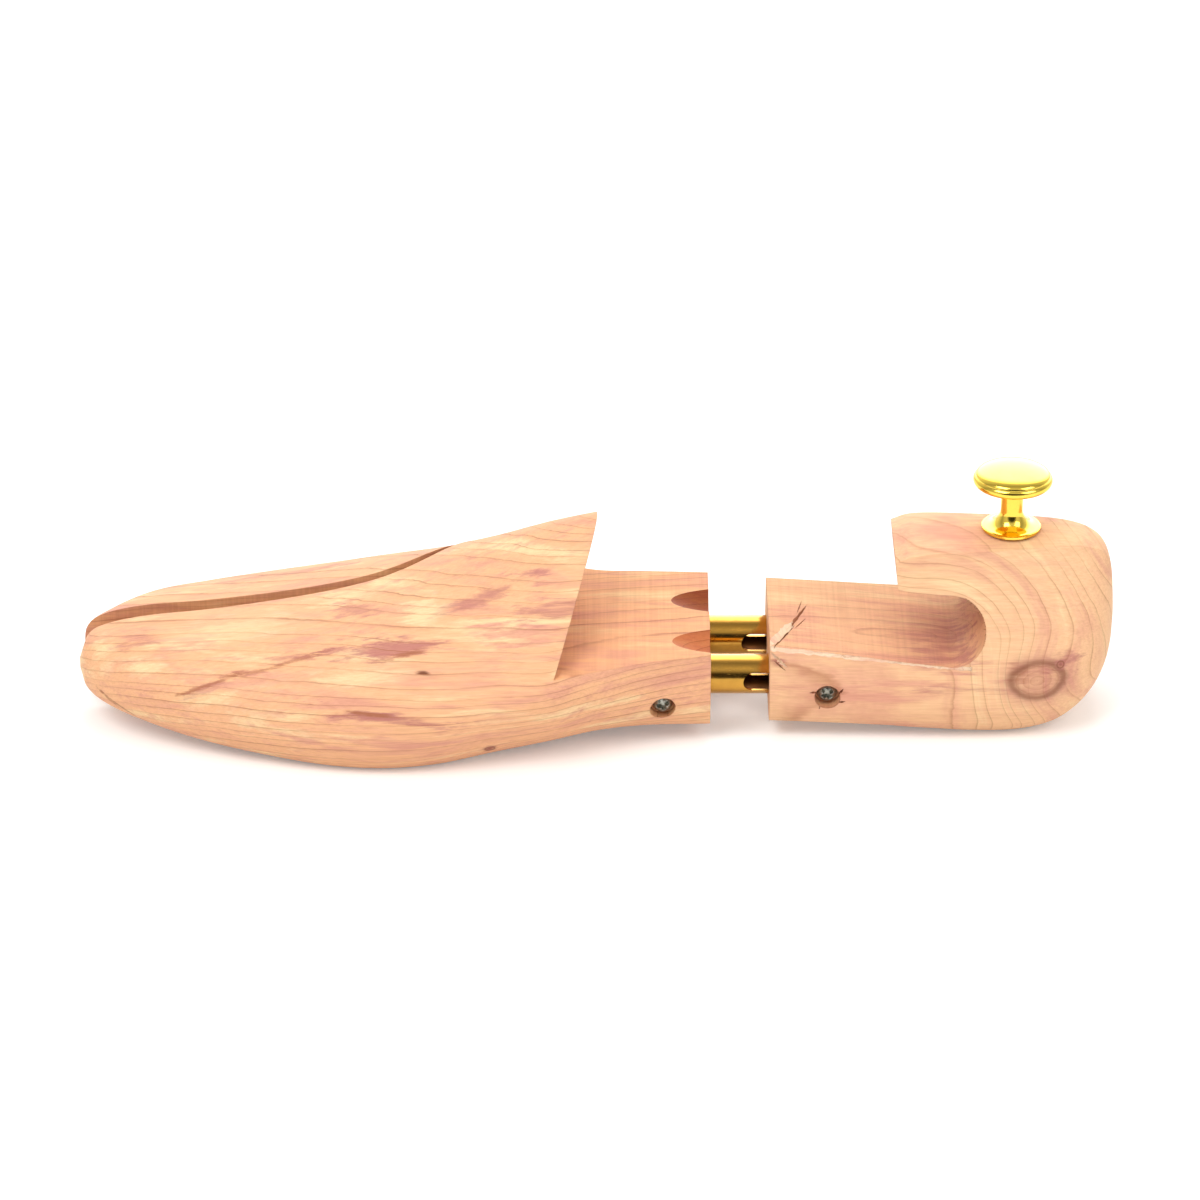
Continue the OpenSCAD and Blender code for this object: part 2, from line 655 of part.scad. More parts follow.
// The knob: a flared foot, a slim neck and a domed cap with a rounded rim
rim_r = 1.5;
dome_h = 2.6;
foot_edge = 0.9;
foot_rise = 5.2;
function flare_pts(r0, r1, z0, z1, n) =
  [for (i = [0 : n]) [r0 + (r1 - r0) * (1 - cos(90 * i / n)), z0 + (z1 - z0) * sin(90 * i / n)]];
function reverse(l) = [for (i = [len(l) - 1 : -1 : 0]) l[i]];
module knob() {
  foot_r = knob_foot_d / 2;
  neck_r = knob_neck_d / 2;
  cap_r = knob_cap_d / 2;
  rim_z = knob_h - dome_h - rim_r;
  outline = concat(
    [[0, 0], [foot_r - 0.3, 0], [foot_r, 0.3], [foot_r, foot_edge]],
    reverse(flare_pts(neck_r, foot_r - 0.4, foot_edge + foot_rise, foot_edge + 0.3, 8)),
    flare_pts(neck_r, cap_r - rim_r, rim_z - 4, rim_z - rim_r, 8),
    [for (a = [-60 : 30 : 60]) [cap_r - rim_r + rim_r * cos(a), rim_z + rim_r * sin(a)]],
    [for (i = [1 : 8]) [(cap_r - rim_r / 2) * cos(90 * i / 8) , rim_z + rim_r * sin(60)
      + (knob_h - rim_z - rim_r * sin(60)) * sin(90 * i / 8)]]
  );
  color(brass) centred() translate([knob_x, 0, heel_h]) difference() {
    rotate_extrude($fn = round_fn) polygon(outline);
    rod_z([0, 0, -1], stud_d + 2 * fit, stud_in_knob + 1 + fit);
  }
}

module knob_stud() {
  color(steel) centred() rod_z([knob_x, 0, heel_h - stud_in_wood], stud_d, stud_in_wood + stud_in_knob);
}

forepart();
toe_side_piece();
hinge_pin();
toe_spring();
near_tube();
far_tube();
forepart_screw();
heel_block();
heel_screw();
near_tube_spring();
far_tube_spring();
knob();
knob_stud();
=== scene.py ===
"""Looks of a split-toe cedar shoe tree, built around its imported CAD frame.

The wood is worked out as smooth surfaces from the same sections as the CAD solids, then sawn
and bored. Tubes, screws, springs and knob are surfaces of revolution or profiles along a path.
All tables are in millimetres; meshes are in metres.
"""

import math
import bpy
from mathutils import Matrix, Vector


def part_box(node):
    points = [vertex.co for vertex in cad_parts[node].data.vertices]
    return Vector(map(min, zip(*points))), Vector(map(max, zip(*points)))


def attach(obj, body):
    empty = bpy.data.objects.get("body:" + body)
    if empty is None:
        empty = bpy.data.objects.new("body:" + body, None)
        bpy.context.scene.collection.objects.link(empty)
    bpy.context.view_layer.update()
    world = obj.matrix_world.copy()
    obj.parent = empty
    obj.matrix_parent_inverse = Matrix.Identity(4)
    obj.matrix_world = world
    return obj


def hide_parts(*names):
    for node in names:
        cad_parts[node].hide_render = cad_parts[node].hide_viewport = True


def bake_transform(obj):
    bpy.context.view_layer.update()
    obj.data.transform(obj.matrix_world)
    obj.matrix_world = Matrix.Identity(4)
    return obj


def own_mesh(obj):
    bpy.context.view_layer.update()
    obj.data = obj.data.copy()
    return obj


bl_info = {
    "name": "Split-toe shoe tree",
    "version": (1, 0, 0),
    "blender": (4, 5, 0),
    "location": "View3D > Sidebar > Shoe tree",
    "description": "Builds the cedar blocks, tubes, screws, springs and knob of a shoe tree",
    "category": "Add Mesh",
}

import bpy
import numpy as np

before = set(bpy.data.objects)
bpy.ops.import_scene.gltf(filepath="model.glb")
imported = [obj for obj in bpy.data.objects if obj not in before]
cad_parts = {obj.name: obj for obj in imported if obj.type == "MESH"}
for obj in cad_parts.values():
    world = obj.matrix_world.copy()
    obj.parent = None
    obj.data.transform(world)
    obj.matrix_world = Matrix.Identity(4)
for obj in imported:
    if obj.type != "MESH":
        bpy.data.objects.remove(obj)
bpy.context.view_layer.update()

MM = 0.001
TURN = 2 * math.pi

# Sizes in millimetres of the screws and of the holes for them
HEAD_H = 2.6
SCREW_HOLE_D = 3.24
COUNTERBORE_D = 7.4
# A tool reaches this far past the faces that it cuts through, or past a face that it meets
OUTSIDE = 60
EASE = 0.02


def linear(hex_colour):
    """sRGB hex colour to linear RGB: c/12.92 below 0.04045, else ((c+0.055)/1.055) ** 2.4."""
    c = np.array([int(hex_colour[i : i + 2], 16) for i in (1, 3, 5)]) / 255
    return tuple(np.where(c <= 0.04045, c / 12.92, ((c + 0.055) / 1.055) ** 2.4))


def mm_of(node):
    """Lowest and highest corner of a CAD node, in millimetres."""
    return [np.array(corner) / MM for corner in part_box(node)]


# Places that the frame gives
TUBE_LOW, TUBE_HIGH = mm_of("near_tube")
FAR_TUBE_LOW, FAR_TUBE_HIGH = mm_of("far_tube")
MID_Y = (TUBE_LOW[1] + FAR_TUBE_HIGH[1]) / 2
TUBE_Z = (TUBE_LOW[2] + TUBE_HIGH[2]) / 2
TUBE_D = TUBE_HIGH[2] - TUBE_LOW[2]
TUBE_PITCH = FAR_TUBE_LOW[1] - TUBE_LOW[1]
HEEL_X = mm_of("heel_block")[0][0]
HEEL_LEN = mm_of("heel_block")[1][0] - HEEL_X
STEM_X = mm_of("forepart")[1][0]
PIN_LOW, PIN_HIGH = mm_of("hinge_pin")
HINGE = (PIN_LOW + PIN_HIGH) / 2
TOE_SPRING_LOW, TOE_SPRING_HIGH = mm_of("toe_spring")
KNOB_LOW, KNOB_HIGH = mm_of("knob")
KNOB_X = (KNOB_LOW[0] + KNOB_HIGH[0]) / 2


def length(name, description, default_mm, low_mm, high_mm):
    """A length property whose default is given in millimetres."""
    return bpy.props.FloatProperty(
        name=name,
        description=description,
        default=default_mm * MM,
        min=low_mm * MM,
        max=high_mm * MM,
        unit="LENGTH",
        precision=4,
    )


def colour(name, description, hex_colour):
    """A colour property whose default is given as an sRGB hex value."""
    return bpy.props.FloatVectorProperty(
        name=name,
        description=description,
        default=linear(hex_colour),
        min=0,
        max=1,
        size=3,
        subtype="COLOR",
    )


class ShoeTreeSizes(bpy.types.PropertyGroup):
    """Sizes that a user of the shoe tree would change."""

    fore_len: length("Forepart length", "From the toe's tip to the stem's end", 182.5, 172, 200)
    ball_near: length("Ball, near side", "Half width of the ball on the near side", 47.97, 42, 52)
    ball_far: length("Ball, far side", "Half width of the ball on the far side", 41.49, 37, 46)
    instep_h: length("Instep height", "Height of the instep fin's peak", 61.6, 56, 68)
    stem_w: length("Stem width", "Width of the forepart's stem", 52, 50, 58)
    stem_top: length("Stem top", "Height of the stem's sawn top", 29.4, 28, 32)
    kerf_w: length("Kerf width", "Width of the saw kerf between the toe halves", 3.1, 2, 3.6)
    heel_w: length("Heel width", "Greatest width of the heel block", 53, 52, 58)
    heel_h: length("Heel height", "Height of the heel block's top", 57.2, 54, 62)
    finger_h: length("Finger slot height", "Height of the finger slot", 19.5, 16, 21)
    knob_cap_d: length("Knob cap", "Diameter of the knob's cap", 22.8, 18, 26)
    head_d: length("Screw head", "Diameter of the screws' heads", 5.8, 5, 6.4)
    edge: length("Edge wear", "Radius of the worn edges of the wood", 0.35, 0.05, 0.6)
    open_angle: bpy.props.FloatProperty(
        name="Open angle",
        description="Angle at which the toe's side piece stands open",
        default=math.radians(2.8),
        min=0.035,
        max=0.052,
        subtype="ANGLE",
    )


class ShoeTreeColours(bpy.types.PropertyGroup):
    """Colours that a user of the shoe tree would change."""

    peach: colour("Heartwood", "Main colour of the cedar", "#EEB68A")
    cream: colour("Sapwood", "Pale yellow sapwood", "#F5D5A4")
    pink: colour("Pink heartwood", "Pink bands between the rings", "#DC9C84")
    purple: colour("Purple streaks", "Purple-red streaks in the heart", "#B4706A")
    brown: colour("Ring lines", "Latewood lines and stained splits", "#A06038")
    knot: colour("Knot", "Dark rim of a knot", "#7C4A33")
    pale: colour("Pale heartwood", "Main colour of the heel's cedar", "#F1C195")
    torn: colour("Torn wood", "Fresh, pale wood where fibres tore out", "#F0D3B4")
    plating: colour("Tube plating", "Dull brass plating of the tubes", "#C09040")
    polish: colour("Knob plating", "Polished plating of the knob", "#F7D458")
    steel: colour("Zinc-plated steel", "Screws, pins and springs", "#A9AAA0")
    floor: colour("Floor", "Pale floor under the shoe tree", "#F4F4F2")


def sizes():
    """The size properties, as a plain name to millimetre lookup."""
    group = bpy.context.scene.shoe_tree_sizes
    names = [n for n in ShoeTreeSizes.__annotations__ if n != "open_angle"]
    return {n: getattr(group, n) / MM for n in names}


def colours():
    """The colour properties, with alpha."""
    group = bpy.context.scene.shoe_tree_colours
    return {n: (*getattr(group, n), 1.0) for n in ShoeTreeColours.__annotations__}


# Surfaces


def curve_through(table, x):
    """Cubic Hermite curves through the rows of a table, all columns at once.

    Between rows i and i+1, with t from 0 to 1 and h their distance, a column's value is
    (1+2t)(1-t)^2 a + t(1-t)^2 h ma + t^2(3-2t) b + t^2(t-1) h mb, where the slopes ma and mb
    run from each row's neighbour before to its neighbour after.
    """
    tab = np.asarray(table, float)
    places, rows = tab[:, 0], tab[:, 1:]
    before = np.maximum(np.arange(len(places)) - 1, 0)
    after = np.minimum(np.arange(len(places)) + 1, len(places) - 1)
    slopes = (rows[after] - rows[before]) / (places[after] - places[before])[:, None]
    i = np.clip(np.searchsorted(places, x, side="right") - 1, 0, len(places) - 2)
    h = (places[i + 1] - places[i])[:, None]
    t = np.clip((x - places[i])[:, None] / h, 0, 1)
    return (
        (1 + 2 * t) * (1 - t) ** 2 * rows[i]
        + t * (1 - t) ** 2 * h * slopes[i]
        + t * t * (3 - 2 * t) * rows[i + 1]
        + t * t * (t - 1) * h * slopes[i + 1]
    ).T


def bezier(points, t):
    """(1-t)^3 a + 3t(1-t)^2 b + 3t^2(1-t) c + t^3 d, for columns of points and a row of t."""
    a, b, c, d = (np.stack(p, -1)[:, None, :] for p in points)
    u = t[None, :, None]
    return (1 - u) ** 3 * a + 3 * u * (1 - u) ** 2 * b + 3 * u * u * (1 - u) * c + u**3 * d


def mesh_object(name, points, faces, material=None):
    """A new object from points in millimetres and its faces, at the origin."""
    mesh = bpy.data.meshes.new(name)
    mesh.from_pydata(np.asarray(points, float) * MM, [], [tuple(f) for f in faces])
    mesh.validate()
    obj = bpy.data.objects.new(name, mesh)
    bpy.context.scene.collection.objects.link(obj)
    if material:
        mesh.materials.append(material)
    return obj


def grid_object(name, grid, material=None, closed_u=False, caps=True):
    """A surface over a grid of points [row along the path, place round the ring].

    Rings close on themselves. The rows close on each other (closed_u) or end in flat caps.
    """
    rows, ring = grid.shape[:2]
    index = np.arange(rows * ring).reshape(rows, ring)
    upper = np.roll(index, -1, 0) if closed_u else index[1:]
    lower = index if closed_u else index[:-1]
    quads = np.stack(
        [lower, np.roll(lower, -1, 1), np.roll(upper, -1, 1), upper], -1
    ).reshape(-1, 4)
    faces = [tuple(q) for q in quads.tolist()]
    if caps and not closed_u:
        faces += [tuple(index[0][::-1].tolist()), tuple(index[-1].tolist())]
    obj = mesh_object(name, grid.reshape(-1, 3), faces, material)
    outwards(obj)
    return obj


def values_of(items, name, kind):
    """One value of every item of a mesh, as an array."""
    values = np.empty(len(items), kind)
    items.foreach_get(name, values)
    return values


def points_of(obj):
    """The vertices' places, in metres, one row each."""
    places = np.empty(len(obj.data.vertices) * 3)
    obj.data.vertices.foreach_get("co", places)
    return places.reshape(-1, 3)


def move_points(obj, places):
    """Moves the vertices to new places, in metres."""
    obj.data.vertices.foreach_set("co", np.ravel(places))
    obj.data.update()
    return obj


def volume(obj):
    """Signed volume: the sum over corner fans of a . (b x c) / 6."""
    mesh = obj.data
    mesh.calc_loop_triangles()
    corners = np.empty(len(mesh.loop_triangles) * 3, np.int32)
    mesh.loop_triangles.foreach_get("vertices", corners)
    a, b, c = points_of(obj)[corners.reshape(-1, 3)].transpose(1, 0, 2)
    return np.einsum("ij,ij->", a, np.cross(b, c)) / 6


def outwards(obj):
    """Turns the faces round if the closed mesh is inside out."""
    if volume(obj) < 0:
        obj.data.flip_normals()
    return obj


def turned(profile, centre, axis, segments):
    """The grid of a profile (radius, height) turned about an axis through centre.

    A point is centre + r cos(a) e1 + r sin(a) e2 + h e3, with a round the full turn.
    """
    angle = np.arange(segments) / segments * TURN
    r, h = np.asarray(profile, float).T[:, :, None] + 0 * angle
    planes = {"x": (h, r * np.cos(angle), r * np.sin(angle)),
              "y": (r * np.sin(angle), h, r * np.cos(angle)),
              "z": (r * np.cos(angle), r * np.sin(angle), h)}
    return np.stack(planes[axis], -1) + np.asarray(centre, float)


def lathe(name, profile, centre, material=None, axis="z", segments=96):
    """A turned solid. Its profile starts and ends on the axis, where its rings close."""
    return merged(grid_object(name, turned(profile, centre, axis, segments), material))


def merged(obj, distance=1e-7):
    """Merges the doubles at poles and seams, and drops faces with no area."""
    weld = obj.modifiers.new("weld", "WELD")
    weld.merge_threshold = distance
    apply_modifiers(obj)
    return obj


def apply_modifiers(obj):
    """Bakes the object's modifiers into its mesh."""
    depsgraph = bpy.context.evaluated_depsgraph_get()
    result = bpy.data.meshes.new_from_object(obj.evaluated_get(depsgraph))
    old = obj.data
    obj.modifiers.clear()
    obj.data = result
    bpy.data.meshes.remove(old)
    return obj


def prism(name, outline, low, high, plane, material=None):
    """An outline carried straight from low to high across its plane ("xz" or "xy")."""
    flat = np.asarray(outline, float)
    ends = [np.insert(flat, 1 if plane == "xz" else 2, level, 1) for level in (low, high)]
    return grid_object(name, np.stack(ends), material)


def rod(name, start, diameter, reach, axis, material=None, segments=64):
    """A plain cylinder from start along an axis, as a cutting tool."""
    r = diameter / 2
    return lathe(name, [(0, 0), (r, 0), (r, reach), (0, reach)], start, material, axis, segments)


def screw_holes(node, s, material):
    """Tools for a screw's pilot hole and for the counterbore over its head."""
    low, high = mm_of(node)
    x, z = low[0] + s["head_d"] / 2, low[2] + s["head_d"] / 2
    reach = high[1] - low[1]
    return [
        rod("pilot", (x, low[1] - EASE, z), SCREW_HOLE_D, reach + 2 * EASE, "y", material),
        rod("counterbore", (x, low[1] - OUTSIDE, z), COUNTERBORE_D, OUTSIDE + HEAD_H + EASE,
            "y", material),
    ]


def tube_bores(start_x, clearance, reach, material):
    """Tools for the two bores that take the tubes."""
    return [
        rod("bore", (start_x, MID_Y + side * TUBE_PITCH / 2, TUBE_Z), TUBE_D + clearance, reach,
            "x", material)
        for side in (-1, 1)
    ]


def combine(body, tools, operation="DIFFERENCE"):
    """Cuts, joins or keeps with each tool in turn; a cut face keeps its tool's material."""
    for tool in tools:
        step = body.modifiers.new("combine", "BOOLEAN")
        step.operation = operation
        step.solver = "EXACT"
        step.material_mode = "TRANSFER"
        step.object = tool
    apply_modifiers(body)
    for tool in tools:
        bpy.data.objects.remove(tool)
    return body


def smooth(obj, angle=38):
    """Smooth shading, kept sharp above an angle in degrees and where two materials meet."""
    mesh = obj.data
    mesh.shade_smooth()
    mesh.set_sharp_from_angle(angle=math.radians(angle))
    material = values_of(mesh.polygons, "material_index", np.int32)
    of_loop = np.repeat(material, values_of(mesh.polygons, "loop_total", np.int32))
    edge = values_of(mesh.loops, "edge_index", np.int32)
    low = np.full(len(mesh.edges), len(mesh.materials))
    high = np.full(len(mesh.edges), -1)
    np.minimum.at(low, edge, of_loop)
    np.maximum.at(high, edge, of_loop)
    sharp = values_of(mesh.edges, "use_edge_sharp", bool)
    mesh.edges.foreach_set("use_edge_sharp", sharp | (low != high))
    return obj


def shown(obj, body, slot, *nodes):
    """Hangs the piece on its body's empty and hides the CAD nodes that it stands in for; the slot
    is not used.
    """
    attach(obj, body)
    if nodes:
        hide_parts(*nodes)
    return obj


# Materials


def wire(tree, node, inputs):
    """Sets a node's inputs: each is a value, or a node or socket to link."""
    for key, value in inputs.items():
        if isinstance(value, bpy.types.Node):
            value = value.outputs[0]
        if isinstance(value, bpy.types.NodeSocket):
            tree.links.new(value, node.inputs[key])
        else:
            node.inputs[key].default_value = value


def put(tree, kind, inputs=None, **settings):
    """Adds a node: settings are its properties, inputs are values, nodes or sockets to link."""
    added = tree.nodes.new(kind)
    for key, value in settings.items():
        setattr(added, key, value)
    wire(tree, added, inputs or {})
    return added


def maths(tree, operation, *values):
    """A math node over one to three values."""
    return put(tree, "ShaderNodeMath", dict(enumerate(values)), operation=operation)


def vectors(tree, operation, *values):
    """A vector math node's result, which is a number for a length or a dot product."""
    added = put(tree, "ShaderNodeVectorMath", dict(enumerate(values)), operation=operation)
    return added.outputs["Value" if operation in ("LENGTH", "DOT_PRODUCT") else "Vector"]


def noise(tree, place, size, detail, rough, seed=None):
    """Noise whose features have a size in millimetres along X, Y and Z."""
    place = vectors(tree, "MULTIPLY", place, tuple(1 / v for v in size))
    inputs = {"Vector": place, "Scale": 1, "Detail": detail, "Roughness": rough}
    if seed is None:
        return put(tree, "ShaderNodeTexNoise", inputs)
    return put(tree, "ShaderNodeTexNoise", {**inputs, "W": seed}, noise_dimensions="4D")


def span(tree, value, before, after, kind="LINEAR"):
    """Carries a value from the range before to the range after, and holds it there."""
    inputs = {"Value": value, "From Min": before[0], "From Max": before[1],
              "To Min": after[0], "To Max": after[1]}
    return put(tree, "ShaderNodeMapRange", inputs, interpolation_type=kind)


def over(tree, factor, below, above, blend="MIX"):
    """One colour laid over another: sockets 6 and 7 are a mix node's colours, 2 its result."""
    return put(tree, "ShaderNodeMix", {"Factor": factor, 6: below, 7: above},
               data_type="RGBA", blend_type=blend).outputs[2]


def ramp(tree, factor, stops):
    """A colour ramp with stops of (place, grey level or colour)."""
    added = put(tree, "ShaderNodeValToRGB", {"Fac": factor})
    elements = added.color_ramp.elements
    while len(elements) < len(stops):
        elements.new(0.5)
    for element, (place, value) in zip(elements, stops):
        element.position = place
        element.color = value if isinstance(value, tuple) else (value, value, value, 1)
    return added


def away(tree, place, centre, radii, tilt=0):
    """Distance from a centre, counted in the radii of an ellipsoid tilted about Y."""
    inputs = {"Vector": place, "Location": centre, "Scale": radii,
              "Rotation": (0, math.radians(-tilt), 0)}
    return vectors(tree, "LENGTH",
                   put(tree, "ShaderNodeMapping", inputs, vector_type="TEXTURE"))


def new_material(name):
    """A material with its node tree and its Principled shader."""
    material = bpy.data.materials.new(name)
    material.use_nodes = True
    tree = material.node_tree
    tree.nodes.clear()
    shader = put(tree, "ShaderNodeBsdfPrincipled")
    put(tree, "ShaderNodeOutputMaterial", {"Surface": shader})
    return material, tree, shader


def place_in_mm(tree):
    """The place on the object, in millimetres."""
    place = put(tree, "ShaderNodeTexCoord").outputs["Object"]
    return vectors(tree, "MULTIPLY", place, (1 / MM, 1 / MM, 1 / MM))


def pith_distance(tree, place, grain):
    """Distance from the pith; along it the rings close slowly, and beyond the bend fast."""
    inputs = {"Vector": place, "Location": grain["pith"], "Rotation": grain["turn"]}
    offset = put(tree, "ShaderNodeMapping", inputs, vector_type="TEXTURE")
    x, y, z = put(tree, "ShaderNodeSeparateXYZ", {0: offset}).outputs
    bend_at, bend = grain["bend"]
    ahead = maths(tree, "SMOOTH_MAX", maths(tree, "SUBTRACT", x, bend_at), 0.0, 12.0)
    run = maths(tree, "MULTIPLY_ADD", ahead, bend, maths(tree, "MULTIPLY", x, grain["reach"]))
    return vectors(tree, "LENGTH", put(tree, "ShaderNodeCombineXYZ", {0: run, 1: y, 2: z}))


def ring_lines(tree, place, radius, spacing):
    """Latewood: a thin line at the end of each ring, which fades in and out along it.

    The ring number is the radius over the spacing, made faster and slower by noise.
    """
    width = put(tree, "ShaderNodeTexNoise", {"W": radius, "Scale": 0.11, "Detail": 1},
                noise_dimensions="1D")
    number = maths(tree, "MULTIPLY_ADD", width, 2.4,
                   maths(tree, "MULTIPLY", radius, 1 / spacing))
    line = ramp(tree, maths(tree, "FRACT", number),
                [(0.0, 0.0), (0.7, 0.05), (0.88, 0.22), (0.96, 1.0), (1.0, 0.0)])
    fade = span(tree, noise(tree, place, (40, 12, 12), 3, 0.5), (0.36, 0.62), (0.4, 1.0))
    return maths(tree, "MULTIPLY", line, fade)


def knot_over(tree, e, wander, base, c):
    """Lays a knot over the wood: its purple halo, its own small rings and its dark rim.

    e is the distance from the knot's centre, which is 1 on its rim.
    """
    halo = span(tree, e, (2.0, 1.0), (0.0, 0.9), "SMOOTHSTEP")
    base = over(tree, maths(tree, "MULTIPLY", halo, wander), base, c["purple"])
    ring = ramp(tree, maths(tree, "FRACT", maths(tree, "MULTIPLY", e, 3.6)),
                [(0.0, 0.15), (0.6, 0.35), (0.9, 0.75), (1.0, 0.15)])
    inside = span(tree, e, (1.08, 0.92), (0.0, 0.45))
    base = over(tree, maths(tree, "MULTIPLY", ring, inside), base, c["brown"])
    rim = maths(tree, "ABSOLUTE", maths(tree, "SUBTRACT", e, 1.0))
    rim = span(tree, rim, (0.34, 0.0), (0.0, 0.66), "SMOOTHSTEP")
    return over(tree, rim, base, c["knot"])


def cedar(name, grain, tint=(1.0, 1.0, 1.0), marks=0.0):
    """Aromatic red cedar, left raw: sanded, or sawn where marks is above 0.

    A ring's number is the distance from the pith, stretched by reach and warped by noise,
    over the ring spacing. A knot pushes the rings aside. Spots are stained or pale ellipsoids
    with ragged edges. The tint multiplies the colour of a cut face.
    """
    c, seed = colours(), grain["seed"]
    material, tree, shader = new_material(name)
    p = place_in_mm(tree)
    # Slow waves of the grain, then a small wander of each line, stretched along the grain
    wave = noise(tree, p, (90, 34, 34), 2, 0.5, seed).outputs["Color"]
    wave = vectors(tree, "SUBTRACT", wave, (0.5, 0.5, 0.5))
    q = vectors(tree, "ADD", p, vectors(tree, "MULTIPLY", wave, grain["wave"]))
    wander = noise(tree, p, (16, 5, 5), 4, 0.6)
    radius = maths(tree, "MULTIPLY_ADD", wander, 0.9, pith_distance(tree, q, grain))
    knots = []
    for centre, radii, push in grain["knots"]:
        e = maths(tree, "MULTIPLY_ADD", wander, 0.5, away(tree, p, centre, radii))
        e = maths(tree, "SUBTRACT", e, 0.25)
        aside = span(tree, e, (0.6, 3.4), (push, 0.0), "SMOOTHSTEP")
        radius = maths(tree, "ADD", radius, aside)
        knots.append(e)
    line = ring_lines(tree, p, radius, grain["spacing"])
    # Colour bands lie between the rings and run along the grain, with finer streaks
    x, y, _ = put(tree, "ShaderNodeSeparateXYZ", {0: q}).outputs
    band = noise(tree, put(tree, "ShaderNodeCombineXYZ", {0: x, 1: radius, 2: y}),
                 (48.08, 4.808, 15.385), 5, 0.62, 1.3 * seed)
    streak = noise(tree, q, (26, 2.6, 2.6), 6, 0.68, seed + 4)
    base = over(tree, ramp(tree, band, [(0.54, 0.0), (0.64, 0.8)]), c[grain["tone"]],
                c["cream"])
    base = over(tree, ramp(tree, band, [(0.34, 0.85), (0.48, 0.0)]), base, c["pink"])
    base = over(tree, ramp(tree, streak, [(0.5, 0.0), (0.66, grain["heart"])]), base,
                c["pink"])
    # Stained and pale patches where the photograph shows them, broken up by the streaks
    ragged = span(tree, streak, (0.34, 0.68), (-0.8, 0.8))
    for centre, radii, tilt, tone, amount in grain["spots"]:
        e = maths(tree, "SUBTRACT", away(tree, p, centre, radii, tilt), ragged)
        e = span(tree, e, (1.15, 0.15), (0.0, amount), "SMOOTHSTEP")
        base = over(tree, e, base, c[tone])
    base = over(tree, maths(tree, "MULTIPLY", line, grain["ink"]), base, c["brown"])
    for e in knots:
        base = knot_over(tree, e, wander, base, c)
    # Fine fibre, 0.5 mm across and 12 mm long
    fibre = noise(tree, p, (12, 0.5, 0.5), 3, 0.7)
    relief = maths(tree, "MULTIPLY_ADD", line, -0.5, fibre)
    fine = ramp(tree, fibre, [(0.32, (0.89, 0.85, 0.82, 1)), (0.62, (1, 1, 1, 1))])
    base = over(tree, 1.0, base, fine, "MULTIPLY")
    if marks:
        # The saw leaves marks about 0.8 mm apart across the cut
        kerfs = noise(tree, p, (0.8, 50, 50), 2, 0.6)
        relief = maths(tree, "MULTIPLY_ADD", kerfs, 1.2 * marks, relief)
        shade = ramp(tree, kerfs, [(0.36, (0.9, 0.88, 0.86, 1)), (0.62, (1, 1, 1, 1))])
        base = over(tree, marks, base, shade, "MULTIPLY")
        base = over(tree, 1.0, base, (*tint, 1.0), "MULTIPLY")
    worn = put(tree, "ShaderNodeBevel", {"Radius": sizes()["edge"] * MM}, samples=3)
    bump = put(tree, "ShaderNodeBump", {"Height": relief, "Distance": 0.12 * MM,
               "Strength": 0.6, "Normal": worn})
    rough = span(tree, fibre, (0.0, 1.0), (0.5, 0.72))
    wire(tree, shader, {"Base Color": base, "Roughness": rough, "Normal": bump,
         "Specular IOR Level": 0.3, "IOR": 1.45})
    return material


def metal(name, tint, roughness, wear, scratch=(9, 0.3, 0.3), bump=0.02):
    """Metal with scratches of a size in mm; with them and its stains the gloss varies by wear."""
    material, tree, shader = new_material(name)
    p = place_in_mm(tree)
    lines = noise(tree, p, scratch, 3, 0.6)
    stain = noise(tree, p, (4, 4, 4), 4, 0.65)
    both = maths(tree, "MULTIPLY_ADD", lines, 0.6, stain)
    rough = span(tree, both, (0.5, 1.1), (roughness * (1 - wear), roughness * (1 + wear)))
    dull = ramp(tree, stain, [(0.4, (1, 1, 1, 1)), (0.75, (0.72, 0.68, 0.62, 1))])
    base = over(tree, wear, tint, dull, "MULTIPLY")
    relief = put(tree, "ShaderNodeBump", {"Height": lines, "Distance": bump * MM,
                 "Strength": 0.5})
    wire(tree, shader, {"Base Color": base, "Roughness": rough, "Normal": relief,
         "Metallic": 1.0})
    return material


# The forepart and its side piece

SOLE_CUT = 0.3  # the loft dips this far under the sole, to be planed flat
RING_HALF = 22  # points on each curve of a section
BIG = 400

# The saw kerf's line in plan, from the toe's tip and the tubes' middle: straight back to the
# turn, then a quarter circle to the far side
KERF_Y, KERF_TURN_AT, KERF_CENTRE_Y, KERF_R = -2.3, 81, 39.1, 38.0
KERF_LOW, KERF_HIGH, KERF_OUTSIDE_Y = -5, 90, 140

# The fin's sawn end leans back from the stem's top
FIN_AT, FIN_LEAN = 150, math.tan(math.radians(21))

# The gouged notches in the stem's end, by their Y from the tubes' middle
NOTCH_HALF_W, NOTCH_DEPTH, NOTCH_LEN = 7.2, 4, 11
FAR_NOTCH_Y, NEAR_NOTCH_Y = 8, -17.4

# The hinge's wooden tongue and its mortise: width, end radius, flare in degrees, low and high
TONGUE = (13, 6.5, 0, 12, 20)
MORTISE = (14, 7.3, 3.6, 11.6, 20.4)
TONGUE_REACH, TONGUE_TURN = 26, math.radians(-42)

TOE_SPRING_D, TOE_SPRING_Z, TOE_BORE_D = 8, 14.5, 9.4
TUBE_SOCKET = 42.02  # depth of the tubes' holes in the forepart


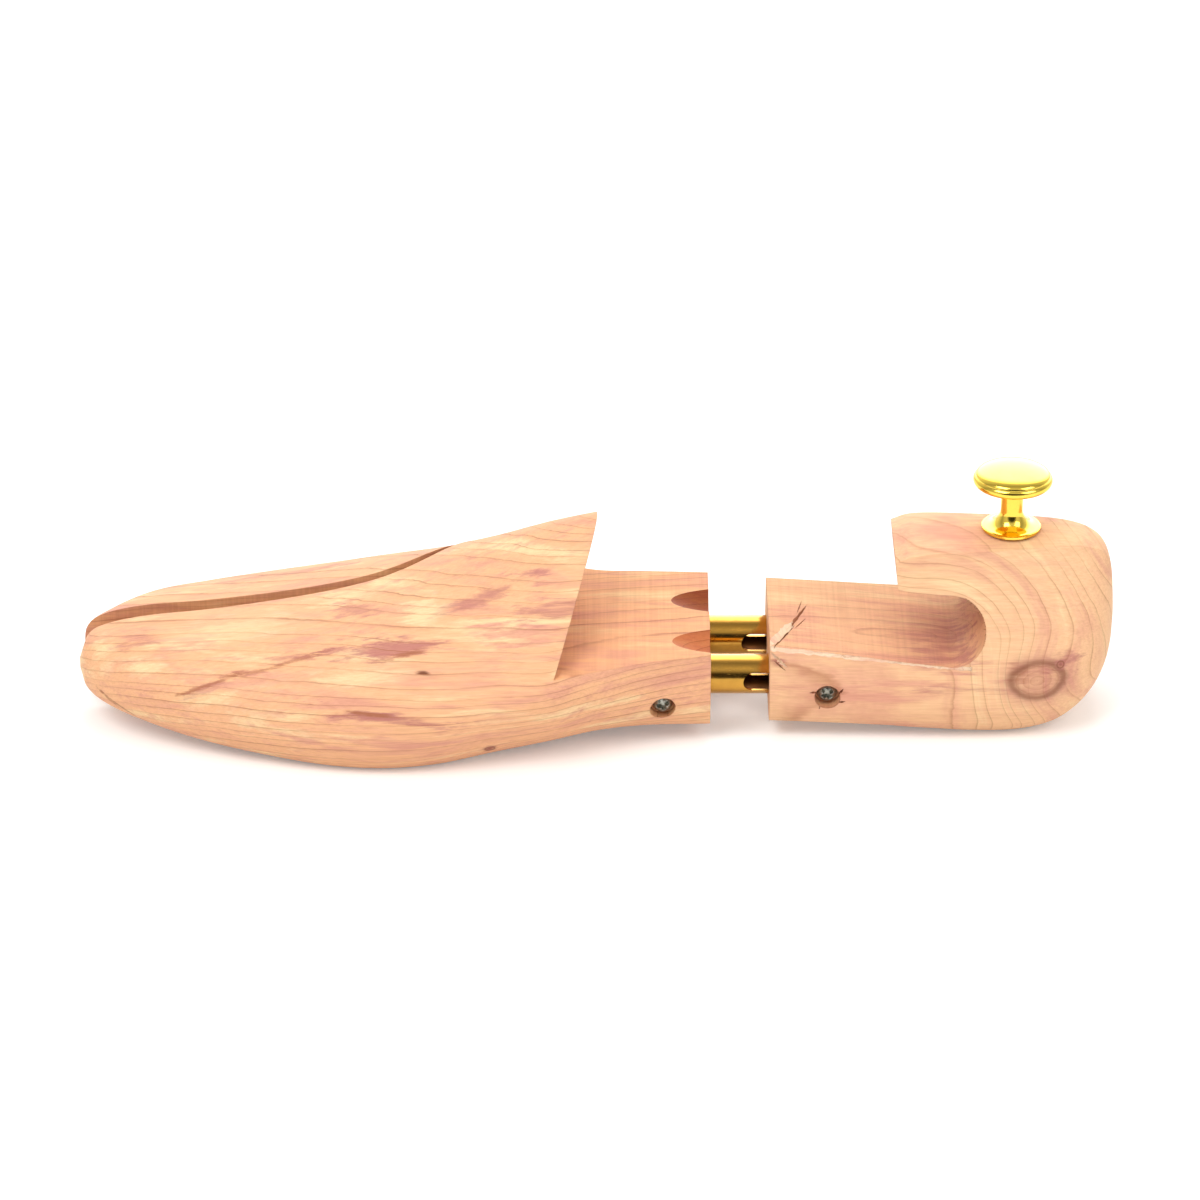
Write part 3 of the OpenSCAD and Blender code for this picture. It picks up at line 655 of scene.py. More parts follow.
def last_table(s):
    """Sections of the forepart, from the toe's tip to the stem's end.

    Each row holds the place, the near and far half widths, the heights of the underside, of
    the widest place and of the crest, the crest's Y, how upright the flank rises, how broad
    the crest is, and the flat sole's share of the section.
    """
    near, far, instep, stem = s["ball_near"], s["ball_far"], s["instep_h"], s["stem_w"]
    toe, ball, tip, foot = 29.3, 41.0, 16.0, 5.3
    ball_at, instep_at, end = 90.0, FIN_AT, s["fore_len"]
    top = instep + 3.4
    toe_st = lambda f: f * ball_at
    mid_st = lambda f: ball_at + f * (instep_at - ball_at)
    end_st = lambda f: instep_at + f * (end - instep_at)
    return [
        (toe_st(0), 0.17 * near, -0.19 * far, tip, tip + 1, 0.65 * toe, -8, 0.6, 0.6, 0.5),
        (toe_st(0.022), 0.29 * near, 0.1 * far, 0.69 * tip, tip, 0.82 * toe, -7, 0.6, 0.6, 0.55),
        (toe_st(0.09), 0.43 * near, 0.32 * far, 0.5 * tip, tip - 0.5, 0.92 * toe, -4, 0.62, 0.62,
         0.62),
        (toe_st(0.222), 0.59 * near, 0.59 * far, 0.34 * tip, 15, toe, 0, 0.64, 0.64, 0.68),
        (toe_st(0.4), 0.735 * near, 0.78 * far, 0.19 * tip, 14, 0.87 * toe + 0.13 * ball, 1,
         0.64, 0.64, 0.74),
        (toe_st(0.622), 0.875 * near, 0.915 * far, 0.08 * tip, 14, 0.64 * toe + 0.36 * ball, 2,
         0.62, 0.62, 0.77),
        (toe_st(0.822), 0.96 * near, 0.975 * far, 0, 14, 0.36 * toe + 0.64 * ball, 3, 0.6, 0.6,
         0.78),
        (toe_st(1), near, far, -SOLE_CUT, 15, ball, 3, 0.52, 0.56, 0.76),
        (mid_st(0.25), near, 0.99 * far, -SOLE_CUT, 18, 0.77 * ball + 0.23 * instep, 3, 0.38,
         0.46, 0.68),
        (mid_st(0.5), 0.96 * near, 0.93 * far, 0.11 * foot, 21, 0.5 * ball + 0.5 * instep, 2,
         0.26, 0.38, 0.56),
        (mid_st(0.767), 0.92 * near, 0.82 * far, 0.42 * foot, 24, 0.2 * ball + 0.8 * instep, 1,
         0.22, 0.34, 0.46),
        (mid_st(1), 0.79 * near, 0.7 * far, 0.72 * foot, 23, instep, 0, 0.25, 0.36, 0.48),
        (end_st(0.43), 0.61 * stem, 0.53 * stem, 0.87 * foot, 20, 0.45 * instep + 0.55 * top, 0,
         0.5, 0.55, 0.62),
        (end_st(1), stem / 2, stem / 2, foot, 16, top, 0, 0.95, 0.95, 0.86),
    ]


def loft(name, places, section, material):
    """A closed surface through sections of (Y from the tubes' middle, Z), at places along X."""
    x = np.broadcast_to(places[:, None, None], (*section.shape[:2], 1))
    return grid_object(name, np.concatenate([x, section + (MID_Y, 0)], 2), material)


def whole_last(name, s, material):
    """The last as one closed surface.

    At a place along X each side of the section is two cubic Bezier curves, from the sole's
    edge to the widest place and from there to the crest.
    """
    # The places stand closer together towards the toe's tip
    tip, tip_len = 0.05, 17
    places = np.concatenate([
        tip + (tip_len - tip) * np.linspace(0, 1, 30, endpoint=False) ** 2.0,
        np.linspace(tip_len, s["fore_len"], 128),
    ])
    near, far, zb, zw, zc, yc, upright, broad, flat = curve_through(last_table(s), places)
    t = np.arange(RING_HALF) / RING_HALF
    mid = (far - near) / 2

    def side(w):
        sole = mid + (w - mid) * flat
        rise = (zc - zw) * upright
        low = [(sole, zb), ((sole + w) / 2, zb), (w, (zw + zb) / 2), (w, zw)]
        high = [(w, zw), (w, zw + rise), (yc + (w - yc) * broad, zc), (yc, zc)]
        return low, high

    near_low, near_high = side(-near)
    far_low, far_high = side(far)
    section = np.concatenate([
        bezier(near_low, t), bezier(near_high, t),
        bezier(far_high[::-1], t), bezier(far_low[::-1], t),
        np.stack(far_low[0], -1)[:, None, :],
    ], 1)
    return loft(name, toe_end(s) + places, section, material)


def toe_end(s):
    """X of the toe's tip."""
    return STEM_X - s["fore_len"]


def kerf_region(s, name, inset, material):
    """All that lies beyond the sawn line: straight from the toe, then a quarter circle."""
    front, radius = toe_end(s) - 20, KERF_R - inset
    turn_x, centre_y = toe_end(s) + KERF_TURN_AT, MID_Y + KERF_CENTRE_Y
    a = np.linspace(0, math.pi / 2, 46)
    arc = np.stack([turn_x + radius * np.sin(a), centre_y - radius * np.cos(a)], -1)
    plan = np.concatenate([[(front, MID_Y + KERF_Y + inset)], arc,
                           [(turn_x + radius, KERF_OUTSIDE_Y), (front, KERF_OUTSIDE_Y)]])
    return prism(name, plan, KERF_LOW, KERF_HIGH, "xy", material)


def tongue(name, width, end_r, flare, low, high, material):
    """A flat bar from the forepart with a round end about the hinge's pin."""
    a = np.linspace(math.pi / 2, 3 * math.pi / 2, 33)
    end = np.stack([end_r * np.cos(a), end_r * np.sin(a)], -1)
    spread = width / 2 + TONGUE_REACH * math.tan(math.radians(flare))
    bar = np.concatenate([end, [(TONGUE_REACH, -spread), (TONGUE_REACH, spread)]])
    return prism(name, bar @ turn_about_z(TONGUE_TURN) + HINGE[:2], low, high, "xy", material)


def turn_about_z(a):
    """The matrix that turns rows of (X, Y) by an angle."""
    return np.array([[math.cos(a), math.sin(a)], [-math.sin(a), math.cos(a)]])


def planed(material):
    """The tool that planes the sole flat at Z = 0."""
    square = [(-BIG, -BIG), (BIG, -BIG), (BIG, BIG), (-BIG, BIG)]
    return prism("plane", square, -50, 0, "xy", material)


FORE_GRAIN = {
    "seed": 0.0,
    "tone": "peach",
    "pith": (-30, -30, -60),
    "turn": (0, math.radians(-2.5), math.radians(2)),
    "reach": 0.16,
    "bend": (0, 0.0),
    "wave": (6, 4, 5),
    "spacing": 2.1,
    "ink": 0.75,
    "heart": 0.85,
    # A pin knot at the edge of the sole: centre, radii and how far it pushes the rings
    "knots": [((-30.3, -36.8, 6.9), (1.3, 6, 1.1), 0.8)],
    # Pale and stained patches: centre, radii, tilt up to the heel, colour and strength
    "spots": [
        ((-50, -17, 40), (9, 8, 4.5), 8, "cream", 0.85),
        ((-130, -20, 24), (9, 6, 3), -10, "cream", 0.8),
        ((-142, -11, 24.5), (5, 7, 5), 0, "cream", 0.7),
        ((-70, -35, 28.5), (18, 6, 2.4), 4, "cream", 0.7),
        ((-110, -30, 20), (16, 6, 2.6), 14, "cream", 0.7),
        ((-105, -9, 31), (24, 8, 3), 6, "cream", 0.6),
        ((-95, -38, 15), (20, 7, 3), -6, "cream", 0.7),
        ((-60, -44.5, 13), (18, 6, 2), 0, "pink", 0.8),
        ((-20, -28, 39), (28, 8, 3.2), 0, "pink", 0.8),
        ((-33, -15, 44), (17, 9, 2.1), 22, "purple", 0.67),
        ((-11, -23, 44), (16, 8, 2.2), 6, "purple", 0.58),
        ((-60, -27, 34), (22, 8, 1.9), 8, "purple", 0.82),
        ((-56, -26, 33), (9, 6, 0.7), 12, "brown", 0.7),
        ((-62, -43, 20.5), (24, 8, 1.9), -5, "purple", 0.82),
        ((-70, -43, 21.5), (12, 6, 0.6), -3, "brown", 0.7),
        ((-68, -10, 37.5), (9, 6, 1.4), 6, "purple", 0.53),
        ((-132, -11, 27.5), (8, 6, 2.2), 14, "purple", 0.58),
        ((-113, -28, 22), (14, 7, 0.7), 21, "brown", 0.85),
        ((-112, -28, 21.4), (10, 7, 1.6), 21, "purple", 0.48),
        ((-91, -27, 28.5), (13, 7, 0.6), 14, "brown", 0.8),
        ((-90, -27, 29.5), (11, 7, 1.4), 14, "purple", 0.48),
        ((-141, -17, 13), (6, 5, 0.6), -35, "brown", 0.7),
        ((-137, -20, 11), (8, 5, 0.5), -30, "knot", 0.6),
        ((-49, -35.4, 30.5), (2.2, 3, 0.4), 0, "knot", 1.0),
        ((-30.3, -36.8, 6.9), (2.0, 5, 1.7), 0, "knot", 1.0),
        ((-24, -33, 12), (9, 6, 1), 12, "purple", 0.48),
        ((-84, -41, 12), (22, 6, 1), -10, "pink", 0.8),
        ((-45, -44, 12), (16, 6, 1), 4, "pink", 0.9),
        ((-15, -24, 30), (30, 8, 1.4), 3, "pink", 0.7),
        ((-100, -33, 25), (22, 8, 1.2), 16, "pink", 0.7),
        ((-117, -10, 28), (18, 8, 1.4), 6, "pink", 0.6),
        ((-90, 22, 33), (30, 5, 2.4), 5, "purple", 0.48),
    ],
}


def toe_holes(pin_d, pin_top, seat_y, reach, material):
    """Tools for the hinge pin's hole and for the toe spring's bore, from seat_y on."""
    spring_x = TOE_SPRING_LOW[0] + TOE_SPRING_D / 2
    return [
        rod("pin_hole", (HINGE[0], HINGE[1], -5), pin_d, pin_top + 5, "z", material),
        rod("spring_hole", (spring_x, seat_y, TOE_SPRING_Z), TOE_BORE_D, reach, "y", material),
    ]


def notch(s, y, material):
    """A gouge's round cut, as a tool: its axis runs back and up along the notch's slope."""
    radius = (NOTCH_HALF_W**2 + NOTCH_DEPTH**2) / (2 * NOTCH_DEPTH)
    slope = math.atan(NOTCH_DEPTH / NOTCH_LEN)
    tool = rod("notch", (0, 0, 0), 2 * radius, 4 * radius, "x", material, 96)
    along, across, up = points_of(tool).T / MM + np.array([[0], [0], [radius]])
    x = STEM_X - along * math.cos(slope) + up * math.sin(slope)
    z = s["stem_top"] - NOTCH_DEPTH + along * math.sin(slope) + up * math.cos(slope)
    return outwards(move_points(tool, np.stack([x, MID_Y + y + across, z], -1) * MM))


def forepart(s, sanded, sawn, gouge_with_painted_shade, gouge_with_deep_painted_shade):
    """The main block: near toe half, fin and stem, with the hinge's tongue."""
    fore = whole_last("cedar_forepart", s, sanded)
    top = s["stem_top"]
    foot_x = toe_end(s) + FIN_AT - (s["instep_h"] - top) * FIN_LEAN
    over_stem = [(foot_x, top), (BIG, top), (BIG, BIG), (foot_x + (BIG - top) * FIN_LEAN, BIG)]
    combine(fore, [planed(sanded), kerf_region(s, "kerf", 0, sawn),
                   prism("stem", over_stem, -BIG, BIG, "xz", sawn)])
    combine(fore, [tongue("tongue", *TONGUE, sawn)], "UNION")
    combine(fore, [
        *tube_bores(STEM_X - TUBE_SOCKET, 0.04, OUTSIDE, sawn),
        *screw_holes("forepart_screw", s, sawn),
        *toe_holes(4.1, 55, TOE_SPRING_LOW[1] - 0.2, 17, sawn),
        # The notches' cut faces carry painted shade, darkest in the far notch
        notch(s, FAR_NOTCH_Y, gouge_with_deep_painted_shade),
        notch(s, NEAR_NOTCH_Y, gouge_with_painted_shade),
    ])
    shown(smooth(fore), "forepart", "cedar", "forepart")


def side_piece(s, open_angle, sanded, sawn):
    """The far toe half: sawn from the same last, mortised and turned about the hinge's pin."""
    side = whole_last("cedar_side_piece", s, sanded)
    combine(side, [planed(sanded)])
    combine(side, [kerf_region(s, "region", s["kerf_w"], sawn)], "INTERSECT")
    combine(side, [tongue("mortise", *MORTISE, sawn)])
    places, centre = points_of(side), HINGE[:2] * MM
    places[:, :2] = (places[:, :2] - centre) @ turn_about_z(-open_angle) + centre
    move_points(side, places)
    combine(side, toe_holes(4.04, PIN_HIGH[2] + EASE, TOE_SPRING_HIGH[1] + 0.2 - 14, 14, sawn))
    shown(smooth(side), "side", "cedar", "toe_side_piece")


class SHOETREE_OT_forepart(bpy.types.Operator):
    """Builds the forepart and the toe's side piece"""

    bl_idname = "shoetree.forepart"
    bl_label = "Forepart and side piece"

    def execute(self, context):
        s = sizes()
        # Cedar sanded smooth along the grain: pale, warm and matt, with thin ring lines
        sanded = cedar("sanded_cedar_forepart", FORE_GRAIN)
        # Bandsawn cedar: the same rings under the saw's marks, a shade browner
        sawn = cedar("sawn_cedar_forepart", FORE_GRAIN, (0.94, 0.88, 0.8), 0.8)
        # Cedar gouged across the grain: its red-brown end grain, darkened further by painted shade
        # in the notch
        gouge_with_painted_shade = cedar("near_notch_cedar_painted_shade", FORE_GRAIN, (0.62, 0.34, 0.21), 0.3)
        # The same, far darker: painted shade for the far notch, which is cut no deeper than the
        # near one
        gouge_with_deep_painted_shade = cedar("far_notch_cedar_painted_shade", FORE_GRAIN, (0.32, 0.12, 0.05), 0.3)
        forepart(s, sanded, sawn, gouge_with_painted_shade, gouge_with_deep_painted_shade)
        side_piece(s, context.scene.shoe_tree_sizes.open_angle, sanded, sawn)
        return {"FINISHED"}


# The heel block


def heel_table(s):
    """Sections of the heel, from its front face to its back.

    Each row holds the place, the half width, the heights of the underside, of the widest
    place and of the top, the flat top's half width, and the flat sole's share.
    """
    half, top, flat, drop = s["heel_w"] / 2, s["heel_h"], 29, 2.5
    rows = [
        (0, 24 / half, 5.5, 15, top - drop, flat / 2, 0.86),
        (0.15, 0.935, 4.8, 15, top - drop, flat / 2, 0.82),
        (0.35, 0.972, 2.7, 15, top - drop, 0.49 * flat, 0.68),
        (0.4, 0.98, 2, 15, top - 0.3 * drop, 0.49 * flat, 0.65),
        (0.46, 0.99, 1.3, 15, top, 0.47 * flat, 0.61),
        (0.58, 1.0, 0, 15, top, 0.44 * flat, 0.54),
        (0.72, 0.985, -SOLE_CUT, 16, top, 0.38 * flat, 0.5),
        (0.82, 0.925, 1.8, 17, top - 0.1, 0.32 * flat, 0.5),
        (0.885, 0.825, 5.4, 19, 0.985 * top, 0.27 * flat, 0.5),
        (0.935, 0.69, 10.4, 21, 0.955 * top, 0.22 * flat, 0.5),
        (0.97, 0.52, 16, 25, 0.9 * top, 0.16 * flat, 0.5),
        (0.99, 0.33, 22, 28, 0.8 * top, 0.1 * flat, 0.5),
        (1, 0.08, 28.5, 31, 0.62 * top, 0.02 * flat, 0.5),
    ]
    return [(r[0] * HEEL_LEN, r[1] * half, *r[2:]) for r in rows]


def flank(w, zw, zt, tw):
    """Control points of the heel's flank, from the widest place to the flat top's edge."""
    zs = zt - 4 * tw / 29
    return [(w, zw), (w, zw + 0.4 * (zs - zw)), (tw + 0.22 * (w - tw), zs - 0.22 * (zs - zw)),
            (tw, zs)]


def whole_heel(name, s, material):
    """The heel as one closed surface.

    Each side of a section is three cubic Bezier curves: the sole's edge to the widest place,
    the flank, and the flat top's round.
    """
    places = np.concatenate([
        np.linspace(0, 0.82, 60, endpoint=False),
        1 - 0.18 * np.linspace(1, 0, 44) ** 1.7,
    ]) * HEEL_LEN
    w, zb, zw, zt, tw, flat = curve_through(heel_table(s), places)
    t = np.arange(RING_HALF) / RING_HALF
    sole, side = w * flat, flank(w, zw, zt, tw)
    zs = side[-1][1]
    curves = [
        [(sole, zb), (sole + 0.55 * (w - sole), zb), (w, (zw + zb) / 2), (w, zw)],
        side,
        [(tw, zs), (0.72 * tw, zt - 0.35 * (zt - zs)), (0.3 * tw, zt), (0 * tw, zt)],
    ]
    far = [bezier(c[::-1], t) for c in curves[::-1]]
    near = [bezier(c, t) * (-1, 1) for c in curves]
    section = np.concatenate([*near, *far, np.stack([sole, zb], -1)[:, None, :]], 1)
    return loft(name, HEEL_X + places, section, material)


HEEL_GRAIN = {
    "seed": 7.3,
    "tone": "pale",
    "pith": (50, -4, 17),
    "turn": (0, 0, 0),
    "reach": 0.15,
    "bend": (52, 0.85),
    "wave": (5, 3.5, 3.5),
    "spacing": 3.2,
    "ink": 0.5,
    "heart": 0.3,
    # The large knot behind the finger slot, and the pin knot beside it
    "knots": [
        ((126.5, -21.9, 20.7), (7.4, 11, 5.2), 4.5),
        ((133.1, -19.8, 24.9), (1.0, 6, 1.0), 0.5),
    ],
    "spots": [
        ((62, 16, 28.5), (9, 1.2, 1), 0, "cream", 0.9),
        ((100, 0, 26), (17, 30, 4), 0, "pink", 0.8),
        ((103, -8, 26), (12, 16, 4), 0, "purple", 0.53),
        ((57, -2, 28), (9, 16, 3), 0, "pink", 0.6),
        ((70, -22, 17), (24, 6, 3), -2, "pink", 0.85),
        ((88, -22, 20), (22, 6, 1.6), 0, "pink", 0.8),
        ((106, -23, 18.5), (16, 6, 1.6), 0, "purple", 0.58),
        ((110, 0, 57), (14, 10, 3), 0, "pink", 0.6),
        ((134, -19, 25), (7, 5, 3.6), 10, "purple", 0.72),
        ((52.4, -20, 25.2), (2.6, 3, 1.6), 0, "purple", 0.86),
        ((133.1, -19.8, 24.9), (0.8, 4, 0.8), 0, "knot", 1.0),
        ((121, -22, 24), (3, 5, 3.4), 30, "brown", 0.5),
    ],
}
# Torn wood: the same block's fibres, pale and unstained
TORN_GRAIN = {**HEEL_GRAIN, "tone": "torn", "spacing": 0.9, "heart": 0.15, "knots": [],
              "spots": []}


# The heel's cuts, from its front face: the floor's height and slope, the wall over it, and
# the far end of the finger slot
FLOOR_Z, FLOOR_SLOPE = 29.7, math.tan(math.radians(5.4))
WALL_AT, WALL_LEAN, SLOT_END_AT = 36.5, math.tan(math.radians(6)), 61.7
HEEL_BORE, STUD_HOLE, STUD_D = 67, 18, 4.04


def floor_z(x):
    """Height of the heel's milled floor."""
    return FLOOR_Z - (x - HEEL_X) * FLOOR_SLOPE


def slot_end(s):
    """The finger slot's round end: its centre's X and Z, and its radius."""
    r = s["finger_h"] / 2
    x = HEEL_X + SLOT_END_AT - r
    return x, floor_z(x) + r, r


def floor_cut(s, material):
    """The tool that mills the floor, the finger slot and the leaning wall over it."""
    x, z, r = slot_end(s)
    a = np.linspace(-math.pi / 2, math.pi / 2, 49)
    round_end = np.stack([x + r * np.cos(a), z + r * np.sin(a)], -1)
    front, wall_x = HEEL_X - 5, HEEL_X + WALL_AT
    ceiling = floor_z(wall_x) + 2 * r
    top = ceiling + s["heel_h"]
    outline = np.concatenate([
        [(front, floor_z(front))], round_end,
        [(wall_x, ceiling), (wall_x - s["heel_h"] * WALL_LEAN, top), (front, top)],
    ])
    return prism("floor", outline, -BIG, BIG, "xz", material)


def flank_y(s, x, z):
    """The heel's near side: the Y of its surface at a place and a height."""
    w, _, zw, zt, tw, _ = curve_through(heel_table(s), np.atleast_1d(x) - HEEL_X)
    side = bezier(flank(w, zw, zt, tw), np.linspace(0, 1, 60))
    return np.array([MID_Y - np.interp(h, row[:, 1], row[:, 0])
                     for row, h in zip(side, np.broadcast_to(z, len(side)))])


def gouge(start, end, up, width, depth, material, seed):
    """A ragged cut from start to end, with one steep and one shallow face, as a cutting tool.

    Width and depth swell along it as sin(pi t)^0.6, times a random share at each place.
    """
    rows = 16
    start, end, up = (np.asarray(v, float) for v in (start, end, up))
    t = np.linspace(0, 1, rows)[:, None]
    share = np.random.default_rng(seed).uniform(0.55, 1, (rows, 2))
    swell = np.maximum(np.sin(math.pi * t) ** 0.6, 0.06) * share
    across = np.cross(up, end - start)
    across /= np.linalg.norm(across)
    line = start + t * (end - start)
    w, d = width / 2 * swell[:, :1], depth * swell[:, 1:]
    ring = [line + across * w + up * 0.5, line - across * w + up * 0.5,
            line - across * 0.4 * w - up * d]
    return grid_object("gouge", np.stack(ring, 1), material)


def torn_edge(s, x0, x1, material):
    """The ragged chamfer along the near edge of the heel's floor, as a cutting tool.

    At each place along X it goes into the floor by a random share of a width, and down the
    flank by a random share of a depth, and both shrink from the heel's front to its back.
    """
    x = np.arange(x0, x1, 0.7)
    share = np.random.default_rng(3).uniform(0.25, 1, (2, len(x)))
    share = (share + np.roll(share, 1, 1)) / 2
    broad = np.interp(x, [50, 74, 82, 108], [2.1, 1.7, 0.8, 0.5])
    w, d = share[0] * broad, share[1] * np.interp(x, [50, 74, 108], [1.5, 1.0, 0.5])
    z = floor_z(x)
    y = flank_y(s, x, z)
    out = 1.6 + 0 * x
    ring = [(y - out, z + 1.5), (y + w, z + 0.8), (y + 0.8 * w, z - 0.14), (y + 0.1, z - d),
            (y - out, z - d - 0.1)]
    grid = np.stack([np.stack([x, a, b], -1) for a, b in ring], 1)
    return grid_object("torn_edge", grid, material)


def spikes(name, roots, tips, radius, material):
    """Three-sided splinters from roots to tips, as one object of closed shells.

    A root's corners stand about it at the radius, a third of a turn apart.
    """
    along = tips - roots
    side = np.cross(along, (0.3, 0.5, 0.8))
    side *= radius / np.linalg.norm(side, axis=1)[:, None]
    other = np.cross(along, side)
    other *= radius / np.linalg.norm(other, axis=1)[:, None]
    corners = [roots + side, roots - 0.5 * side + 0.87 * other,
               roots - 0.5 * side - 0.87 * other, tips]
    shell = np.array([(0, 2, 1), (0, 1, 3), (1, 2, 3), (2, 0, 3)])
    faces = shell + len(corners) * np.arange(len(roots))[:, None, None]
    points = np.stack(corners, 1).reshape(-1, 3)
    return outwards(mesh_object(name, points, faces.reshape(-1, 3).tolist(), material))


def tears(s, torn, dark_with_painted_shade):
    """Tools for the tears: along the floor's near edge, at its front corner, and by the screw.

    Each gouge is given by its start and end, on the floor (X, Y) or on the flank (X, Z), its
    width, its depth, its material and its seed.
    """
    x, _, z = mm_of("heel_screw")[0] + s["head_d"] / 2
    on_floor = [
        ((48.5, -19.5), (57.5, 0), 5.2, 1.5, torn, 1),
        # A narrow dark crack beside the torn strip: painted shadow beneath the strip, with some
        # stain
        ((50.5, -19), (57.5, -3), 1.2, 2.2, dark_with_painted_shade, 3),
        ((53.5, -11), (61.5, 10.5), 1.9, 1.1, dark_with_painted_shade, 2),
        ((57, -6), (61, 2), 0.8, 0.6, dark_with_painted_shade, 4),
        ((58, 3), (60, 13), 0.8, 0.5, dark_with_painted_shade, 5),
    ]
    on_flank = [
        ((50.2, 28.4), (55, 24), 2.4, 0.8, torn, 6),
        # A narrow dark crack beside the torn strip: painted shadow beneath the strip, with some
        # stain
        ((51, 26), (54.5, 23), 0.9, 0.7, dark_with_painted_shade, 7),
    ] + [
        ((x + 3.0 * math.cos(a), z + 3.0 * math.sin(a)),
         (x + 5.4 * math.cos(a + 0.3), z + 5.4 * math.sin(a + 0.3)), 1.5, 0.8, dark_with_painted_shade, 8)
        for a in (-0.5, 0.3, 2.6, 4.0)
    ]
    cuts = [torn_edge(s, HEEL_X - 1, slot_end(s)[0] + 6, torn)]
    for start, end, *rest in on_floor:
        ends = [(x, y, floor_z(x)) for x, y in (start, end)]
        cuts.append(gouge(*ends, (0, 0, 1), *rest))
    for start, end, *rest in on_flank:
        ends = [(x, flank_y(s, x, z)[0], z) for x, z in (start, end)]
        cuts.append(gouge(*ends, (0, -1, 0), *rest))
    return cuts


def splinters(s, material):
    """Fibres that stand out from the near rim of the finger slot's end."""
    centre_x, centre_z, r = slot_end(s)
    a = np.linspace(-0.35, 1.15, 15)
    spread = np.random.default_rng(9).uniform(-1, 1, (len(a), 3))
    x, z = centre_x + (r + 0.1) * np.cos(a), centre_z + (r + 0.1) * np.sin(a)
    roots = np.stack([x, flank_y(s, x, z) + 0.15, z], -1)
    tips = roots + (-0.7, -0.55, -0.1) + spread * (0.5, 0.3, 0.6)
    return spikes("heel_splinters", roots, tips, 0.17, material)


class SHOETREE_OT_heel(bpy.types.Operator):
    """Builds the heel block"""

    bl_idname = "shoetree.heel"
    bl_label = "Heel block"

    def execute(self, context):
        s = sizes()
        # Cedar sanded smooth: plain-sawn, so its rings show as wide arches on the near side
        sanded = cedar("sanded_cedar_heel", HEEL_GRAIN)
        # Milled cedar of the floor and the finger slot, with the cutter's marks across it
        sawn = cedar("sawn_cedar_heel", HEEL_GRAIN, (0.88, 0.79, 0.74), 0.8)
        # Fresh cedar, pale and rough, where fibres tore out of the milled floor
        torn = cedar("torn_cedar", TORN_GRAIN, (1.0, 1.0, 1.0), 0.4)
        # Torn cedar darkened brown: partly dirt and resin stain, partly painted shade in the
        # cracks and under the torn strips
        dark_with_painted_shade = cedar("torn_cedar_stain_and_painted_shade", HEEL_GRAIN, (0.5, 0.36, 0.27), 0.4)
        heel = whole_heel("cedar_heel", s, sanded)
        combine(heel, [
            *screw_holes("heel_screw", s, sawn),
            planed(sanded),
            floor_cut(s, sawn),
            *tube_bores(HEEL_X - 1, 0.16, HEEL_BORE + 1, sawn),
            rod("stud_hole", (KNOB_X, MID_Y, s["heel_h"] - STUD_HOLE - EASE), STUD_D, OUTSIDE,
                "z", sawn),
        ])
        combine(heel, tears(s, torn, dark_with_painted_shade))
        shown(smooth(heel), "heel", "heel_cedar", "heel_block")
        shown(splinters(s, dark_with_painted_shade), "heel", "heel_cedar")
        return {"FINISHED"}


# Tubes, screws, springs and knob


# The tubes' walls and rolled-in lips, and the slots through both walls
TUBE_WALL, TUBE_LIP = 0.8, 1.6
SLOT_START, SLOT_END, SLOT_R = STEM_X + 9.6, STEM_X + 36.8, 2.8


def bare_tube(name, y, plated, dark_with_painted_shade):
    """A tube turned from one closed profile, whose last three runs lie inside."""
    r, end, segments = TUBE_D / 2, TUBE_HIGH[0] - TUBE_LOW[0], 128
    profile = [
        (r - TUBE_WALL, 0), (r - 0.25, 0), (r, 0.25), (r, end - 1.2), (r - 0.35, end - 0.35),
        (r - 1.2, end), (r - TUBE_LIP, end), (r - TUBE_LIP, end - TUBE_WALL),
        (r - TUBE_WALL, end - TUBE_WALL - 0.4),
    ]
    grid = turned(profile, (TUBE_LOW[0], y, TUBE_Z), "x", segments)
    tube = grid_object(name, grid, plated, closed_u=True)
    # The inner faces take the dark brown of painted shade
    tube.data.materials.append(dark_with_painted_shade)
    inside = np.arange(len(profile)) >= len(profile) - 3
    tube.data.polygons.foreach_set("material_index",
                                   np.repeat(inside, segments).astype(np.int32))
    return tube


def slot_cut(y, material):
    """The tool for a tube's slot, with round ends."""
    a = np.linspace(-math.pi / 2, math.pi / 2, 33)
    x, z = SLOT_R * np.cos(a), SLOT_R * np.sin(a)
    rear = np.stack([SLOT_END - SLOT_R + x, TUBE_Z + z], -1)
    front = np.stack([SLOT_START + SLOT_R - x, TUBE_Z - z], -1)
    return prism("slot", np.concatenate([rear, front]), y - 10, y + 10, "xz", material)


class SHOETREE_OT_tubes(bpy.types.Operator):
    """Builds the two slotted tubes"""

    bl_idname = "shoetree.tubes"
    bl_label = "Slotted tubes"

    def execute(self, context):
        # Steel tube, brass-plated and drawn: dull gold with bright scuffs along it
        plated = metal("drawn_brass_plated_tube", colours()["plating"], 0.2, 0.5)
        # Inside, the plating is thin, and the bore's dark brown is painted shade
        dark_with_painted_shade = metal("tube_bore_painted_shade", (*linear("#5A3312"), 1.0), 0.5, 0.3)
        x, _, z = mm_of("forepart_screw")[0] + sizes()["head_d"] / 2
        for name, side, node in (("near_brass_tube", -1, "near_tube"),
                                 ("far_brass_tube", 1, "far_tube")):
            y = MID_Y + side * TUBE_PITCH / 2
            tube = bare_tube(name, y, plated, dark_with_painted_shade)
            cross_hole = rod("cross_hole", (x, y - 10, z), SCREW_HOLE_D, 20, "y", plated)
            combine(tube, [slot_cut(y, plated), cross_hole])
            shown(smooth(tube, 30), "forepart", "tube_brass", node)
        return {"FINISHED"}


